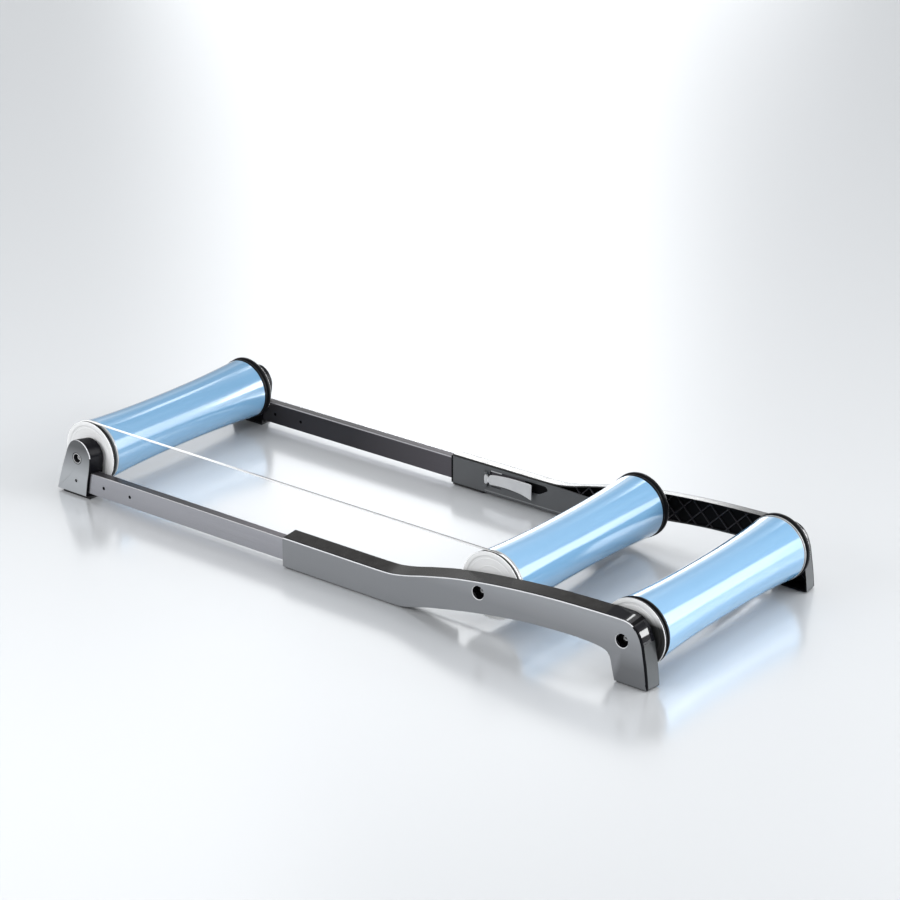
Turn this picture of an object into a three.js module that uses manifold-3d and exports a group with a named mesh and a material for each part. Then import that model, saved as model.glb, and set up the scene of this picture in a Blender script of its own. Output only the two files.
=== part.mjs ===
// Telescoping training rollers for a bicycle: three hollow-waisted drums between two moulded
// side rails, with a front carriage that telescopes into the rails' sleeves.
// Millimetres. +X runs from the front roller to the rear leg, +Y across to the right rail, +Z up.
// The left side is at -Y (the side with the belt). Feet stand on z = 0.
import * as THREE from 'three';
import Module from 'manifold-3d';

const wasm = await Module();
wasm.setup();
const { Manifold, Mesh } = wasm;

// ---- driving dimensions --------------------------------------------------------------
const HALF_WIDTH = 256;          // centre plane to a rail's outer face
const RAIL_DEPTH = 31.5;         // outer face to inner edge of a rail
const RAIL_WALL = 3;
const TOP_FLARE = 6.2;           // rise of the top wall from outer face to inner edge
const LEG_FLARE = 3.5;           // growth of the rear wall over the same depth
const AXLE_Z = 77;
const FRONT_X = -619.0;
const MIDDLE_X = 326.5;
const REAR_X = 619.7;
const MOUTH_X = -110;            // front end of the sleeve
const CLOSURE_X = -34;           // the sleeve's bottom is closed from the mouth to here
const LIP_DEPTH = 6.2;           // depth of the bottom lip and of the lattice ribs
const RIB_PITCH = 42;
const RIB_WIDTH = 2.2;
const BAR_Y = [6.5, 27.5];       // depth from the rail's outer plane
const BAR_Z = [10.5, 52.5];
const BAR_WALL = 2;
const BAR_X = [-638, 110];
const HOLE_X = [-624, -557, -490];   // wheelbase holes
const HOLE_Z = 31;
const BRACKET_Y = [1.5, 31.5];
const DRUM_END_R = 59;
const DRUM_WAIST_R = 52.6;
const DRUM_HALF = 205.5;
const DRUM_WALL = 3;
const CAP_FACE = 220;            // centre plane to a cap's outer face
const GROOVE_Y = 211.5;
const BELT_R = 1.8;
const BELT_PITCH_R = 59.5;
const AXLE_R = 5;
const SEG = 24;

// rail outline on the outer face: [x, z, flare x, flare z]
const RAIL_TOP = [
  [-110, 57.0, 0, 1], [109.5, 56.8, 0, 1], [138.4, 58.2, 0, 1], [160.3, 61.8, 0, 1],
  [210.7, 74.2, 0, 1], [276.7, 88.6, 0, 1], [331.3, 97.0, 0, 1], [380, 102.8, 0, 1],
  [427.6, 107.2, 0, 1], [484.7, 111.0, 0, 1], [541.3, 113.2, 0, 1], [585, 114.2, 0, 1],
  [612, 114.4, 0.1, 0.98], [629.5, 113.2, 0.4, 0.9], [641, 108.5, 0.7, 0.75],
  [651, 99.0, 0.9, 0.45], [658.0, 84.8, 1, 0.2], [664.3, 56.1, 1, 0], [669.3, 23.7, 1, 0],
  [671.5, 2.0, 1, 0],
];
const RAIL_BOTTOM = [
  [-110, 1.8], [150, 1.8], [164, 3.4], [187, 9.0], [210.5, 15.6], [250.5, 24.2],
  [310.8, 35.9], [369.9, 45.2], [428.3, 51.8], [485.7, 55.5], [536, 56.6], [564.8, 55.2],
  [582.0, 52.7], [591.6, 48.6], [596.6, 41.9], [599.7, 29.1], [604, 11.4], [606.5, 2.0],
].map(([x, z]) => [x, z, 0, 0]);

const BRACKET_OUTER = [
  [-675, 4.6], [-599.5, 4.6], [-593.2, 39.4], [-589.5, 54.5], [-586.2, 75], [-585.7, 88.2],
  [-590.1, 98], [-597, 107], [-606.5, 112.8], [-617, 114.8], [-626.5, 112.6],
  [-634.5, 106.6], [-641, 97.5], [-650.6, 75], [-664.7, 37.8],
];
const BRACKET_INNER = [
  [-672, 4.6], [-590, 4.6], [-586, 39.4], [-583, 54.5], [-580, 75], [-580, 87],
  [-584, 96.5], [-590.5, 104.5], [-600, 110], [-610, 111.6], [-620, 109.5], [-629, 103.5],
  [-636.5, 94.5], [-647, 73], [-662, 37],
];

// ---- helpers -------------------------------------------------------------------------
const solid = (positions, triangles) => {
  const m = new Mesh({
    numProp: 3,
    vertProperties: new Float32Array(positions.flat()),
    triVerts: new Uint32Array(triangles.flat()),
  });
  m.merge();
  let out = new Manifold(m);
  if (out.volume() < 0) {
    out = new Manifold(new Mesh({
      numProp: 3,
      vertProperties: new Float32Array(positions.flat()),
      triVerts: new Uint32Array(triangles.map(([a, b, c]) => [a, c, b]).flat()),
    }));
  }
  return out;
};

// closed loft between two polygons of equal count: lo and hi are lists of [x, y, z]
const loft = (lo, hi, flat) => {
  const n = lo.length;
  const faces = THREE.ShapeUtils.triangulateShape(flat.map(([u, v]) => new THREE.Vector2(u, v)), []);
  const tris = [];
  const turn = (a, b, c) => Math.sign(
    (flat[b][0] - flat[a][0]) * (flat[c][1] - flat[a][1])
    - (flat[c][0] - flat[a][0]) * (flat[b][1] - flat[a][1]),
  );
  const way = Math.sign(THREE.ShapeUtils.area(flat.map(([u, v]) => new THREE.Vector2(u, v))));
  for (const [a, b, c] of faces) {
    const [p, q] = turn(a, b, c) === way ? [b, c] : [c, b];
    tris.push([a, q, p], [a + n, p + n, q + n]);
  }
  for (let i = 0; i < n; i += 1) {
    const j = (i + 1) % n;
    tris.push([i, j, j + n], [i, j + n, i + n]);
  }
  return solid([...lo, ...hi], tris);
};

// a prism of an x-z outline between two depths measured from the left rail's outer plane
const plate = (outline, d0, d1, outline1 = outline) => loft(
  outline.map(([x, z]) => [x, d0 - HALF_WIDTH, z]),
  outline1.map(([x, z]) => [x, d1 - HALF_WIDTH, z]),
  outline,
);
const block = (x, d, z) => Manifold.cube([x[1] - x[0], d[1] - d[0], z[1] - z[0]])
  .translate([x[0], d[0] - HALF_WIDTH, z[0]]);
// a cylinder along Y at (x, z) between two depths
const pinY = (x, z, r, d0, d1, n = 24) => Manifold.cylinder(d1 - d0, r, r, n)
  .rotate([-90, 0, 0]).translate([x, d0 - HALF_WIDTH, z]);
const pinZ = (x, d, r, z0, z1, n = 16) => Manifold.cylinder(z1 - z0, r, r, n)
  .translate([x, d - HALF_WIDTH, z0]);
const mirrored = (m) => m.mirror([0, 1, 0]);

// offset a closed outline inwards along its mitred normals, keeping the flare data
const inset = (outline, t) => {
  const n = outline.length;
  let area = 0;
  for (let i = 0; i < n; i += 1) {
    const [x0, z0] = outline[i];
    const [x1, z1] = outline[(i + 1) % n];
    area += x0 * z1 - x1 * z0;
  }
  const s = area > 0 ? 1 : -1;
  return outline.map((p, i) => {
    const a = outline[(i + n - 1) % n];
    const b = outline[(i + 1) % n];
    const d0 = new THREE.Vector2(p[0] - a[0], p[1] - a[1]).normalize();
    const d1 = new THREE.Vector2(b[0] - p[0], b[1] - p[1]).normalize();
    const n0 = new THREE.Vector2(-d0.y * s, d0.x * s);
    const n1 = new THREE.Vector2(-d1.y * s, d1.x * s);
    const m = n0.clone().add(n1).normalize();
    const k = t / Math.max(m.dot(n0), 0.4);
    return [p[0] + m.x * k, p[1] + m.y * k, ...p.slice(2)];
  });
};
const flared = (outline, depth) => outline.map(([x, z, fx, fz]) => [
  x + (fx * LEG_FLARE * depth) / RAIL_DEPTH,
  z + (fz * TOP_FLARE * depth) / RAIL_DEPTH,
]);

// a solid of revolution about the Y axis from a closed [radius, y] profile
const revolve = (profile, n = SEG) => {
  const k = profile.length;
  const pos = [];
  const tris = [];
  for (let i = 0; i < n; i += 1) {
    const a = (i / n) * Math.PI * 2;
    for (const [r, y] of profile) pos.push([r * Math.cos(a), y, r * Math.sin(a)]);
  }
  for (let i = 0; i < n; i += 1) {
    const j = (i + 1) % n;
    for (let p = 0; p < k; p += 1) {
      const q = (p + 1) % k;
      tris.push([i * k + p, i * k + q, j * k + q], [i * k + p, j * k + q, j * k + p]);
    }
  }
  return solid(pos, tris);
};
const at = (m, x, z) => m.translate([x, 0, z]);

// ---- materials -----------------------------------------------------------------------
const finish = (hex, roughness, metalness = 0) => () => new THREE.MeshStandardMaterial({
  color: hex, roughness, metalness,
});
const RAIL = finish(0x4b4e52, 0.32);
const BRACKET = finish(0x4b4e52, 0.32);
const GUIDE = finish(0x45484b, 0.45);
const BAR = finish(0x6f6e78, 0.4, 0.4);
const DRUM = finish(0x6fb3e0, 0.18);
const CAP = finish(0xc9ccce, 0.4);
const RUBBER = finish(0x1b1c1e, 0.85);
const STEEL = finish(0xb9bbbd, 0.3, 1);
const LEVER = finish(0xb9bcbe, 0.38);
const BLACK = finish(0x18191b, 0.5);
const BELT = finish(0xe9e9e4, 0.5);

const group = new THREE.Group();
group.name = 'training_rollers';
const add = (name, manifold, material) => {
  const src = manifold.getMesh();
  const verts = [];
  for (let i = 0; i < src.vertProperties.length; i += src.numProp) {
    verts.push(src.vertProperties[i], src.vertProperties[i + 1], src.vertProperties[i + 2]);
  }
  const g = new THREE.BufferGeometry();
  g.setAttribute('position', new THREE.Float32BufferAttribute(verts, 3));
  g.setIndex(Array.from(src.triVerts));
  g.computeVertexNormals();
  const mesh = new THREE.Mesh(g, material());
  mesh.name = name;
  group.add(mesh);
};
const pair = (name, manifold, material) => {
  add(`left_${name}`, manifold, material);
  add(`right_${name}`, mirrored(manifold), material);
};

// ---- side rail -----------------------------------------------------------------------
const outline = [...RAIL_TOP, ...RAIL_BOTTOM.slice().reverse()];
const cavityOutline = inset(outline, RAIL_WALL).map((p, i, all) => {
  if (i === 0) return [MOUTH_X - 4, RAIL_TOP[0][1] - RAIL_WALL, 0, 1];
  if (i === all.length - 1) return [MOUTH_X - 4, RAIL_BOTTOM[0][1] + RAIL_WALL, 0, 0];
  return p;
});
const atDepth = (o, d) => flared(o, d);
let rail = plate(atDepth(outline, 0), 0, RAIL_DEPTH, atDepth(outline, RAIL_DEPTH));
const cavity = plate(
  atDepth(cavityOutline, RAIL_WALL), RAIL_WALL, RAIL_DEPTH + 2,
  atDepth(cavityOutline, RAIL_DEPTH + 2),
);
rail = rail.subtract(cavity);

// the bottom is open from the closure to the rear leg, apart from a shallow lip
const bottomZ = (x) => {
  for (let i = 1; i < RAIL_BOTTOM.length; i += 1) {
    const [x0, z0] = RAIL_BOTTOM[i - 1];
    const [x1, z1] = RAIL_BOTTOM[i];
    if (x <= x1) return z0 + ((z1 - z0) * (x - x0)) / (x1 - x0);
  }
  return RAIL_BOTTOM.at(-1)[1];
};
const OPEN_END_X = 574;
const openXs = [CLOSURE_X, ...RAIL_BOTTOM.map((p) => p[0]).filter((x) => x > CLOSURE_X && x < OPEN_END_X), OPEN_END_X];
rail = rail.subtract(plate(
  [...openXs.map((x) => [x, bottomZ(x) - 4]), ...openXs.slice().reverse().map((x) => [x, bottomZ(x) + 5])],
  LIP_DEPTH, RAIL_DEPTH + 2,
));

// diamond lattice on the inside of the outer wall
const lattice = [];
for (let x = 70; x < 680; x += RIB_PITCH) {
  for (const s of [1, -1]) {
    lattice.push(
      Manifold.cube([RIB_WIDTH, LIP_DEPTH - 2, 190], false)
        .translate([-RIB_WIDTH / 2, 0, -95])
        .rotate([0, 45 * s, 0])
        .translate([x, 2 - HALF_WIDTH, 70]),
    );
  }
}
const latticeArea = plate(
  inset(outline, 1.5).filter(([x]) => x > 155),
  2, LIP_DEPTH,
);
rail = rail.add(Manifold.union(lattice).intersect(latticeArea));

// axle bosses with a deep recess for the screw in the outer face
for (const x of [MIDDLE_X, REAR_X]) {
  rail = rail.add(pinY(x, AXLE_Z, 15.5, 0.5, RAIL_DEPTH, 24));
  rail = rail.subtract(pinY(x, AXLE_Z, 12, -1, 20, 24));
  rail = rail.subtract(pinY(x, AXLE_Z, 2.7, 19, 25, 12));
  rail = rail.subtract(pinY(x, AXLE_Z, AXLE_R + 0.3, 24, RAIL_DEPTH + 1, 16));
}
pair('rail', rail, RAIL);

// ---- guide plate with the lever's window and two hinge lugs ---------------------------
const HINGE_X = -25.5;
const HINGE_D = 33;
let guide = plate(
  [[-106, 5.1], [150, 5.1], [262, 22], [262, 55], [140, 59], [-106, 59]], 28.3, 31.3,
);
guide = guide.subtract(plate(
  [[-31.5, 23.4], [70, 23.4], [72, 32], [116, 32], [116, 52], [-18, 52], [-18, 43.6], [-31.5, 43.6]],
  27, 33,
));
guide = guide.add(block([-31, -21.6], [28.5, 37], [43.8, 48.5]));
guide = guide.add(block([-31, -21.6], [28.5, 37], [18.5, 23.2]));
guide = guide.subtract(pinZ(HINGE_X, HINGE_D, 1.8, 20, 50, 12));
pair('guide_plate', guide, GUIDE);
pair('lever_pin', pinZ(HINGE_X, HINGE_D, 1.5, 20.3, 48.2, 12), STEEL);

// ---- release lever --------------------------------------------------------------------
const stations = [
  // x, depth of the middle, low z, high z
  [-25.5, 34.4, 24.6, 42.4], [-19.5, 34.6, 24.8, 43.2], [-8, 34.9, 25.8, 45.8],
  [12, 35.4, 27.2, 48.4], [36, 36.2, 27.3, 50.3], [60, 37.6, 25.8, 51.2],
  [78, 39.3, 22.6, 51.0], [85.5, 40.3, 25.0, 45.0],
];
const bladePos = [];
const bladeTri = [];
stations.forEach(([x, d, z0, z1]) => {
  for (const [dd, z] of [[-1.4, z0], [1.4, z0], [1.4, z1], [-1.4, z1]]) {
    bladePos.push([x, d + dd - HALF_WIDTH, z]);
  }
});
for (let i = 0; i + 1 < stations.length; i += 1) {
  for (let p = 0; p < 4; p += 1) {
    const q = (p + 1) % 4;
    const a = i * 4;
    bladeTri.push([a + p, a + q, a + 4 + q], [a + p, a + 4 + q, a + 4 + p]);
  }
}
const last = (stations.length - 1) * 4;
bladeTri.push([0, 2, 1], [0, 3, 2], [last, last + 1, last + 2], [last, last + 2, last + 3]);
let lever = solid(bladePos, bladeTri);
lever = lever.add(pinZ(HINGE_X, HINGE_D, 4, 23.6, 43.4, 16));
lever = lever.add(loft(
  [[0, -5.2], [2.6, -5.2], [4, 0], [0, 2], [-3, 0]].map(([x, d]) => [HINGE_X + x, HINGE_D + d - HALF_WIDTH, 28]),
  [[0, -5.2], [2.6, -5.2], [4, 0], [0, 2], [-3, 0]].map(([x, d]) => [HINGE_X + x, HINGE_D + d - HALF_WIDTH, 39]),
  [[0, -5.2], [2.6, -5.2], [4, 0], [0, 2], [-3, 0]],
));
lever = lever.subtract(pinZ(HINGE_X, HINGE_D, 1.8, 20, 50, 12));
pair('lever', lever, LEVER);

// ---- feet under the frame ---------------------------------------------------------------
pair('sleeve_foot', block([-106, -36], [3, 28.5], [0, 1.5]), RUBBER);
pair('rear_foot', block([609.5, 669], [3, 29], [0, 1.7]), RUBBER);

// ---- front carriage ---------------------------------------------------------------------
let bar = block(BAR_X, BAR_Y, BAR_Z).subtract(block(
  [BAR_X[0] - 1, BAR_X[1] + 1],
  [BAR_Y[0] + BAR_WALL, BAR_Y[1] - BAR_WALL],
  [BAR_Z[0] + BAR_WALL, BAR_Z[1] - BAR_WALL],
));
for (const x of HOLE_X) bar = bar.subtract(pinY(x, HOLE_Z, 2.7, BAR_Y[0] - 1, BAR_Y[1] + 1, 12));
pair('bar', bar, BAR);

const GAP = 0.3;
const glide = block(
  [BAR_X[1] - 20, BAR_X[1] + 1],
  [BAR_Y[0] + BAR_WALL + GAP, BAR_Y[1] - BAR_WALL - GAP],
  [BAR_Z[0] + BAR_WALL + GAP, BAR_Z[1] - BAR_WALL - GAP],
).add(block([BAR_X[1] + GAP, BAR_X[1] + 4], [BAR_Y[0] + 0.3, BAR_Y[1] - 0.3], [BAR_Z[0] + 0.3, BAR_Z[1] - 0.3]));
pair('bar_glide', glide, BLACK);

let bracket = plate(BRACKET_OUTER, BRACKET_Y[0], BRACKET_Y[1], BRACKET_INNER);
bracket = bracket.subtract(block([BAR_X[0] - GAP, -560], [BAR_Y[0] - GAP, BAR_Y[1] + GAP], [BAR_Z[0] - GAP, BAR_Z[1] + GAP]));
// hollow behind the outer wall, around the axle boss
bracket = bracket.subtract(
  plate(inset(BRACKET_OUTER, 4).filter(([, z]) => z > 30).map(([x, z]) => [x, Math.max(z, 56.5)]), 5, 33)
    .subtract(pinY(FRONT_X, AXLE_Z, 15.5, 0, 40, 24)),
);
bracket = bracket.subtract(pinY(FRONT_X, AXLE_Z, 10.5, 0, 20, 16));
bracket = bracket.subtract(pinY(FRONT_X, AXLE_Z, 2.7, 19, 25, 12));
bracket = bracket.subtract(pinY(FRONT_X, AXLE_Z, AXLE_R + GAP, 24, 40, 16));
bracket = bracket.subtract(pinY(HOLE_X[0], HOLE_Z, 2.7, 0, BAR_Y[0], 12));
pair('bracket', bracket, BRACKET);
pair('front_bush', pinY(FRONT_X, AXLE_Z, 10.2, 0.9, 17, 16).subtract(pinY(FRONT_X, AXLE_Z, 8.4, 0, 20, 16)), STEEL);
pair('bracket_screw', pinY(HOLE_X[0], HOLE_Z, 2.4, 2.6, 13, 12), STEEL);
pair('front_foot', block([-662, -592], [4, 29], [0, 4.3]), RUBBER);

// ---- axles, screws and spacers ------------------------------------------------------------
const axleHalf = HALF_WIDTH - 24.3;
const axle = revolve([
  [AXLE_R, -axleHalf], [AXLE_R, axleHalf], [2.7, axleHalf], [2.7, axleHalf - 15],
  [1.5, axleHalf - 15], [1.5, -axleHalf + 15], [2.7, -axleHalf + 15], [2.7, -axleHalf],
], 16);
const screw = (x, d) => pinY(x, AXLE_Z, 2.4, 18, 37, 10).add(pinY(x, AXLE_Z, 5, d, 19.7, 10));
const spacer = revolve([[AXLE_R + GAP, 217.3], [8, 217.3], [8, 224.2], [AXLE_R + GAP, 224.2]], 12);
for (const [where, x] of [['front', FRONT_X], ['middle', MIDDLE_X], ['rear', REAR_X]]) {
  add(`${where}_axle`, at(axle, x, AXLE_Z), STEEL);
  pair(`${where}_axle_screw`, screw(x, where === 'front' ? 7.5 : 13), STEEL);
  add(`left_${where}_spacer`, mirrored(at(spacer, x, AXLE_Z)), BLACK);
  add(`right_${where}_spacer`, at(spacer, x, AXLE_Z), BLACK);
}

// ---- rollers --------------------------------------------------------------------------------
const drumR = (y) => DRUM_WAIST_R + (DRUM_END_R - DRUM_WAIST_R) * (Math.abs(y) / DRUM_HALF) ** 2.2;
const drumYs = [-1, -0.78, -0.48, 0, 0.48, 0.78, 1].map((f) => f * DRUM_HALF);
const drum = revolve([
  ...drumYs.map((y) => [drumR(y), y]),
  ...drumYs.slice().reverse().map((y) => [drumR(y) - DRUM_WALL, y]),
]);
const cap = revolve([
  [13.4, 208.7], [13.4, 218.6], [19, 218.6], [20.2, 217.2], [52, 218.2], [54.5, CAP_FACE],
  [61, CAP_FACE], [61, 214.8], [56.8, 213.2], [56.8, 209.8], [60, 208.6], [60, 205.8],
  [54.4, 205.8], [54, 196], [51.4, 196], [47, 211],
]);
const bearing = revolve([[AXLE_R + GAP, 209], [13.1, 209], [13.1, 217], [AXLE_R + GAP, 217]], 14);
for (const [where, x] of [['front', FRONT_X], ['middle', MIDDLE_X], ['rear', REAR_X]]) {
  add(`${where}_drum`, at(drum, x, AXLE_Z), DRUM);
  add(`${where}_left_cap`, mirrored(at(cap, x, AXLE_Z)), CAP);
  add(`${where}_right_cap`, at(cap, x, AXLE_Z), CAP);
  add(`${where}_left_bearing`, mirrored(at(bearing, x, AXLE_Z)), STEEL);
  add(`${where}_right_bearing`, at(bearing, x, AXLE_Z), STEEL);
}

// ---- drive belt: a closed loop in the left grooves of the front and middle rollers -----------
const beltPath = [];
const ARC = 16;
for (let i = 0; i <= ARC; i += 1) {
  const a = Math.PI / 2 - (i / ARC) * Math.PI;
  beltPath.push([MIDDLE_X + BELT_PITCH_R * Math.cos(a), AXLE_Z + BELT_PITCH_R * Math.sin(a), a]);
}
for (let i = 0; i <= ARC; i += 1) {
  const a = -Math.PI / 2 - (i / ARC) * Math.PI;
  beltPath.push([FRONT_X + BELT_PITCH_R * Math.cos(a), AXLE_Z + BELT_PITCH_R * Math.sin(a), a]);
}
const beltPos = [];
const beltTri = [];
const SIDES = 6;
beltPath.forEach(([x, z, a]) => {
  for (let s = 0; s < SIDES; s += 1) {
    const b = (s / SIDES) * Math.PI * 2 + Math.PI / 6;
    const r = BELT_R * Math.cos(b);
    beltPos.push([x + r * Math.cos(a), -GROOVE_Y + BELT_R * Math.sin(b), z + r * Math.sin(a)]);
  }
});
for (let i = 0; i < beltPath.length; i += 1) {
  const j = (i + 1) % beltPath.length;
  for (let s = 0; s < SIDES; s += 1) {
    const t = (s + 1) % SIDES;
    beltTri.push([i * SIDES + s, i * SIDES + t, j * SIDES + t], [i * SIDES + s, j * SIDES + t, j * SIDES + s]);
  }
}
add('drive_belt', solid(beltPos, beltTri), BELT);

export default group;
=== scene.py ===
import math

import bmesh
import bpy
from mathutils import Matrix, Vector


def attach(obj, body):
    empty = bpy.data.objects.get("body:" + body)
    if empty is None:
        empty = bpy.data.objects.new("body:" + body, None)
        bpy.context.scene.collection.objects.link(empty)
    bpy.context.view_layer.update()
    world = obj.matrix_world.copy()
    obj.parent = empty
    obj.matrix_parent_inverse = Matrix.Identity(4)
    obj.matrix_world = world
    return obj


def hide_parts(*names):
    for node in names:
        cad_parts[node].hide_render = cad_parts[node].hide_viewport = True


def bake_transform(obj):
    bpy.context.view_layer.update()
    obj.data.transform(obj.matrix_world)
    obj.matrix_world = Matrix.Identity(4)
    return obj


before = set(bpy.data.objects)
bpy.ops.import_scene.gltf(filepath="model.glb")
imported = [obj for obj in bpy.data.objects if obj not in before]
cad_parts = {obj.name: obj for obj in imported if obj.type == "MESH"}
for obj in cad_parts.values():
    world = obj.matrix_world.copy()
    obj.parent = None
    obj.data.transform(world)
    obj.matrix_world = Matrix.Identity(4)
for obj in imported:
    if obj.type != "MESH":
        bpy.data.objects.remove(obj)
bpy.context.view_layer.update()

# Row frame: +X from the front roller to the rear leg, left side at -Y, floor at z = 0.
# Lengths below are millimetres; make() turns them into metres.
MM = 0.001
HALF = 256.0  # centre plane to a rail's outer face
AXLE_Z = 77.0
FRONT_X, MIDDLE_X, REAR_X = -619.0, 326.5, 619.7
SIDES = (("left", -1), ("right", 1))
WHERE = (("front", FRONT_X), ("middle", MIDDLE_X), ("rear", REAR_X))

# ------------------------------------------------------------------------------- camera
camera = bpy.data.objects.new("camera", bpy.data.cameras.new("camera"))
bpy.context.scene.collection.objects.link(camera)
camera.location = (2.96717, -3.66590, 2.10101)
camera.rotation_euler = (math.radians(67.729), 0, math.radians(38.370))
camera.data.sensor_width = 36
camera.data.lens = 114.016
camera.data.clip_end = 200
bpy.context.scene.camera = camera
bpy.context.scene.view_settings.view_transform = "Standard"

# ---------------------------------------------------------------------------- materials


def link(nt, a, b):
    nt.links.new(a, b)


def new_material(name):
    m = bpy.data.materials.new(name)
    m.use_nodes = True
    nt = m.node_tree
    bsdf = nt.nodes.get("Principled BSDF")
    return m, nt, bsdf


def ramp(nt, source, stops):
    node = nt.nodes.new("ShaderNodeValToRGB")
    e = node.color_ramp.elements
    while len(e) < len(stops):
        e.new(0.5)
    for i, (p, c) in enumerate(stops):
        e[i].position = p
        e[i].color = (*c, 1)
    link(nt, source, node.inputs["Fac"])
    return node.outputs["Color"]


def noise(nt, vector, scale, detail=3.0, rough=0.55):
    node = nt.nodes.new("ShaderNodeTexNoise")
    node.inputs["Scale"].default_value = scale
    node.inputs["Detail"].default_value = detail
    node.inputs["Roughness"].default_value = rough
    link(nt, vector, node.inputs["Vector"])
    return node.outputs["Fac"]


def spread(nt, source, lo, hi, out_lo, out_hi):
    node = nt.nodes.new("ShaderNodeMapRange")
    node.inputs["From Min"].default_value = lo
    node.inputs["From Max"].default_value = hi
    node.inputs["To Min"].default_value = out_lo
    node.inputs["To Max"].default_value = out_hi
    link(nt, source, node.inputs["Value"])
    return node.outputs["Result"]


def mix_color(nt, factor, a, b):
    node = nt.nodes.new("ShaderNodeMix")
    node.data_type = "RGBA"
    link(nt, factor, node.inputs["Factor"])
    for value, socket in ((a, node.inputs[6]), (b, node.inputs[7])):
        if hasattr(value, "links"):
            link(nt, value, socket)
        else:
            socket.default_value = (*value, 1)
    return node.outputs[2]


def surface(
    name,
    base,
    rough,
    metallic=0.0,
    spec=0.5,
    coat=0.0,
    coat_rough=0.05,
    mottle=0.07,
    mottle_scale=16.0,
    grain=1100.0,
    bump=0.12,
    depth=0.00012,
    rough_var=0.05,
    stretch=(1, 1, 1),
    scuff=0.0,
    scuff_color=(0.5, 0.5, 0.5),
    dust=0.0,
):
    """Moulded or metal finish: slow tone variation, fine grain in the bump, uneven gloss, light scuffs and dust."""
    m, nt, bsdf = new_material(name)
    tc = nt.nodes.new("ShaderNodeTexCoord")
    mp = nt.nodes.new("ShaderNodeMapping")
    mp.inputs["Scale"].default_value = stretch
    link(nt, tc.outputs["Object"], mp.inputs["Vector"])
    v = mp.outputs["Vector"]
    slow = noise(nt, v, mottle_scale, 4)
    dark = tuple(c * (1 - mottle) for c in base)
    light = tuple(min(1.0, c * (1 + mottle)) for c in base)
    color = ramp(nt, slow, [(0.34, dark), (0.66, light)])
    if scuff:
        mp2 = nt.nodes.new("ShaderNodeMapping")
        mp2.inputs["Scale"].default_value = (14, 60, 420)
        mp2.inputs["Rotation"].default_value = (0.15, 0.2, 0.1)
        link(nt, tc.outputs["Object"], mp2.inputs["Vector"])
        marks = spread(nt, noise(nt, mp2.outputs["Vector"], 1.0, 2), 0.66, 0.74, 0.0, scuff)
        color = mix_color(nt, marks, color, scuff_color)
    if dust:
        patch = spread(nt, noise(nt, tc.outputs["Object"], 42.0, 8, 0.75), 0.52, 0.78, 0.0, dust)
        color = mix_color(nt, patch, color, (0.42, 0.42, 0.42))
    link(nt, color, bsdf.inputs["Base Color"])
    uneven = noise(nt, v, 70.0, 3)
    link(
        nt,
        spread(nt, uneven, 0.3, 0.7, max(0.02, rough - rough_var), rough + rough_var),
        bsdf.inputs["Roughness"],
    )
    bsdf.inputs["Metallic"].default_value = metallic
    bsdf.inputs["Specular IOR Level"].default_value = spec
    bsdf.inputs["Coat Weight"].default_value = coat
    bsdf.inputs["Coat Roughness"].default_value = coat_rough
    fine = noise(nt, v, grain, 2)
    b = nt.nodes.new("ShaderNodeBump")
    b.inputs["Strength"].default_value = bump
    b.inputs["Distance"].default_value = depth
    link(nt, fine, b.inputs["Height"])
    link(nt, b.outputs["Normal"], bsdf.inputs["Normal"])
    return m


def turned(name, base, rough, metallic=0.0, spec=0.5, coat=0.0, coat_rough=0.04, mottle=0.04, rings=2600.0, bump=0.05, scuff=0.0):
    """A surface turned or rolled about the Y axis: its fine marks run round it, so they depend on Y alone."""
    m, nt, bsdf = new_material(name)
    tc = nt.nodes.new("ShaderNodeTexCoord")
    slow = noise(nt, tc.outputs["Object"], 9.0, 4)
    dark = tuple(c * (1 - mottle) for c in base)
    light = tuple(min(1.0, c * (1 + mottle)) for c in base)
    color = ramp(nt, slow, [(0.34, dark), (0.66, light)])
    mp = nt.nodes.new("ShaderNodeMapping")
    mp.inputs["Scale"].default_value = (6, rings, 6)
    link(nt, tc.outputs["Object"], mp.inputs["Vector"])
    lines = noise(nt, mp.outputs["Vector"], 1.0, 2)
    if scuff:
        mp2 = nt.nodes.new("ShaderNodeMapping")
        mp2.inputs["Scale"].default_value = (9, 150, 9)
        link(nt, tc.outputs["Object"], mp2.inputs["Vector"])
        worn = spread(nt, noise(nt, mp2.outputs["Vector"], 1.0, 4), 0.58, 0.8, 0.0, scuff)
        color = mix_color(nt, worn, color, tuple(min(1, 0.45 + 0.55 * c) for c in base))
    link(nt, color, bsdf.inputs["Base Color"])
    link(nt, spread(nt, lines, 0.3, 0.7, max(0.02, rough - 0.03), rough + 0.05), bsdf.inputs["Roughness"])
    bsdf.inputs["Metallic"].default_value = metallic
    bsdf.inputs["Specular IOR Level"].default_value = spec
    bsdf.inputs["Coat Weight"].default_value = coat
    bsdf.inputs["Coat Roughness"].default_value = coat_rough
    b = nt.nodes.new("ShaderNodeBump")
    b.inputs["Strength"].default_value = bump
    b.inputs["Distance"].default_value = 0.00006
    link(nt, lines, b.inputs["Height"])
    link(nt, b.outputs["Normal"], bsdf.inputs["Normal"])
    return m


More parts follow.
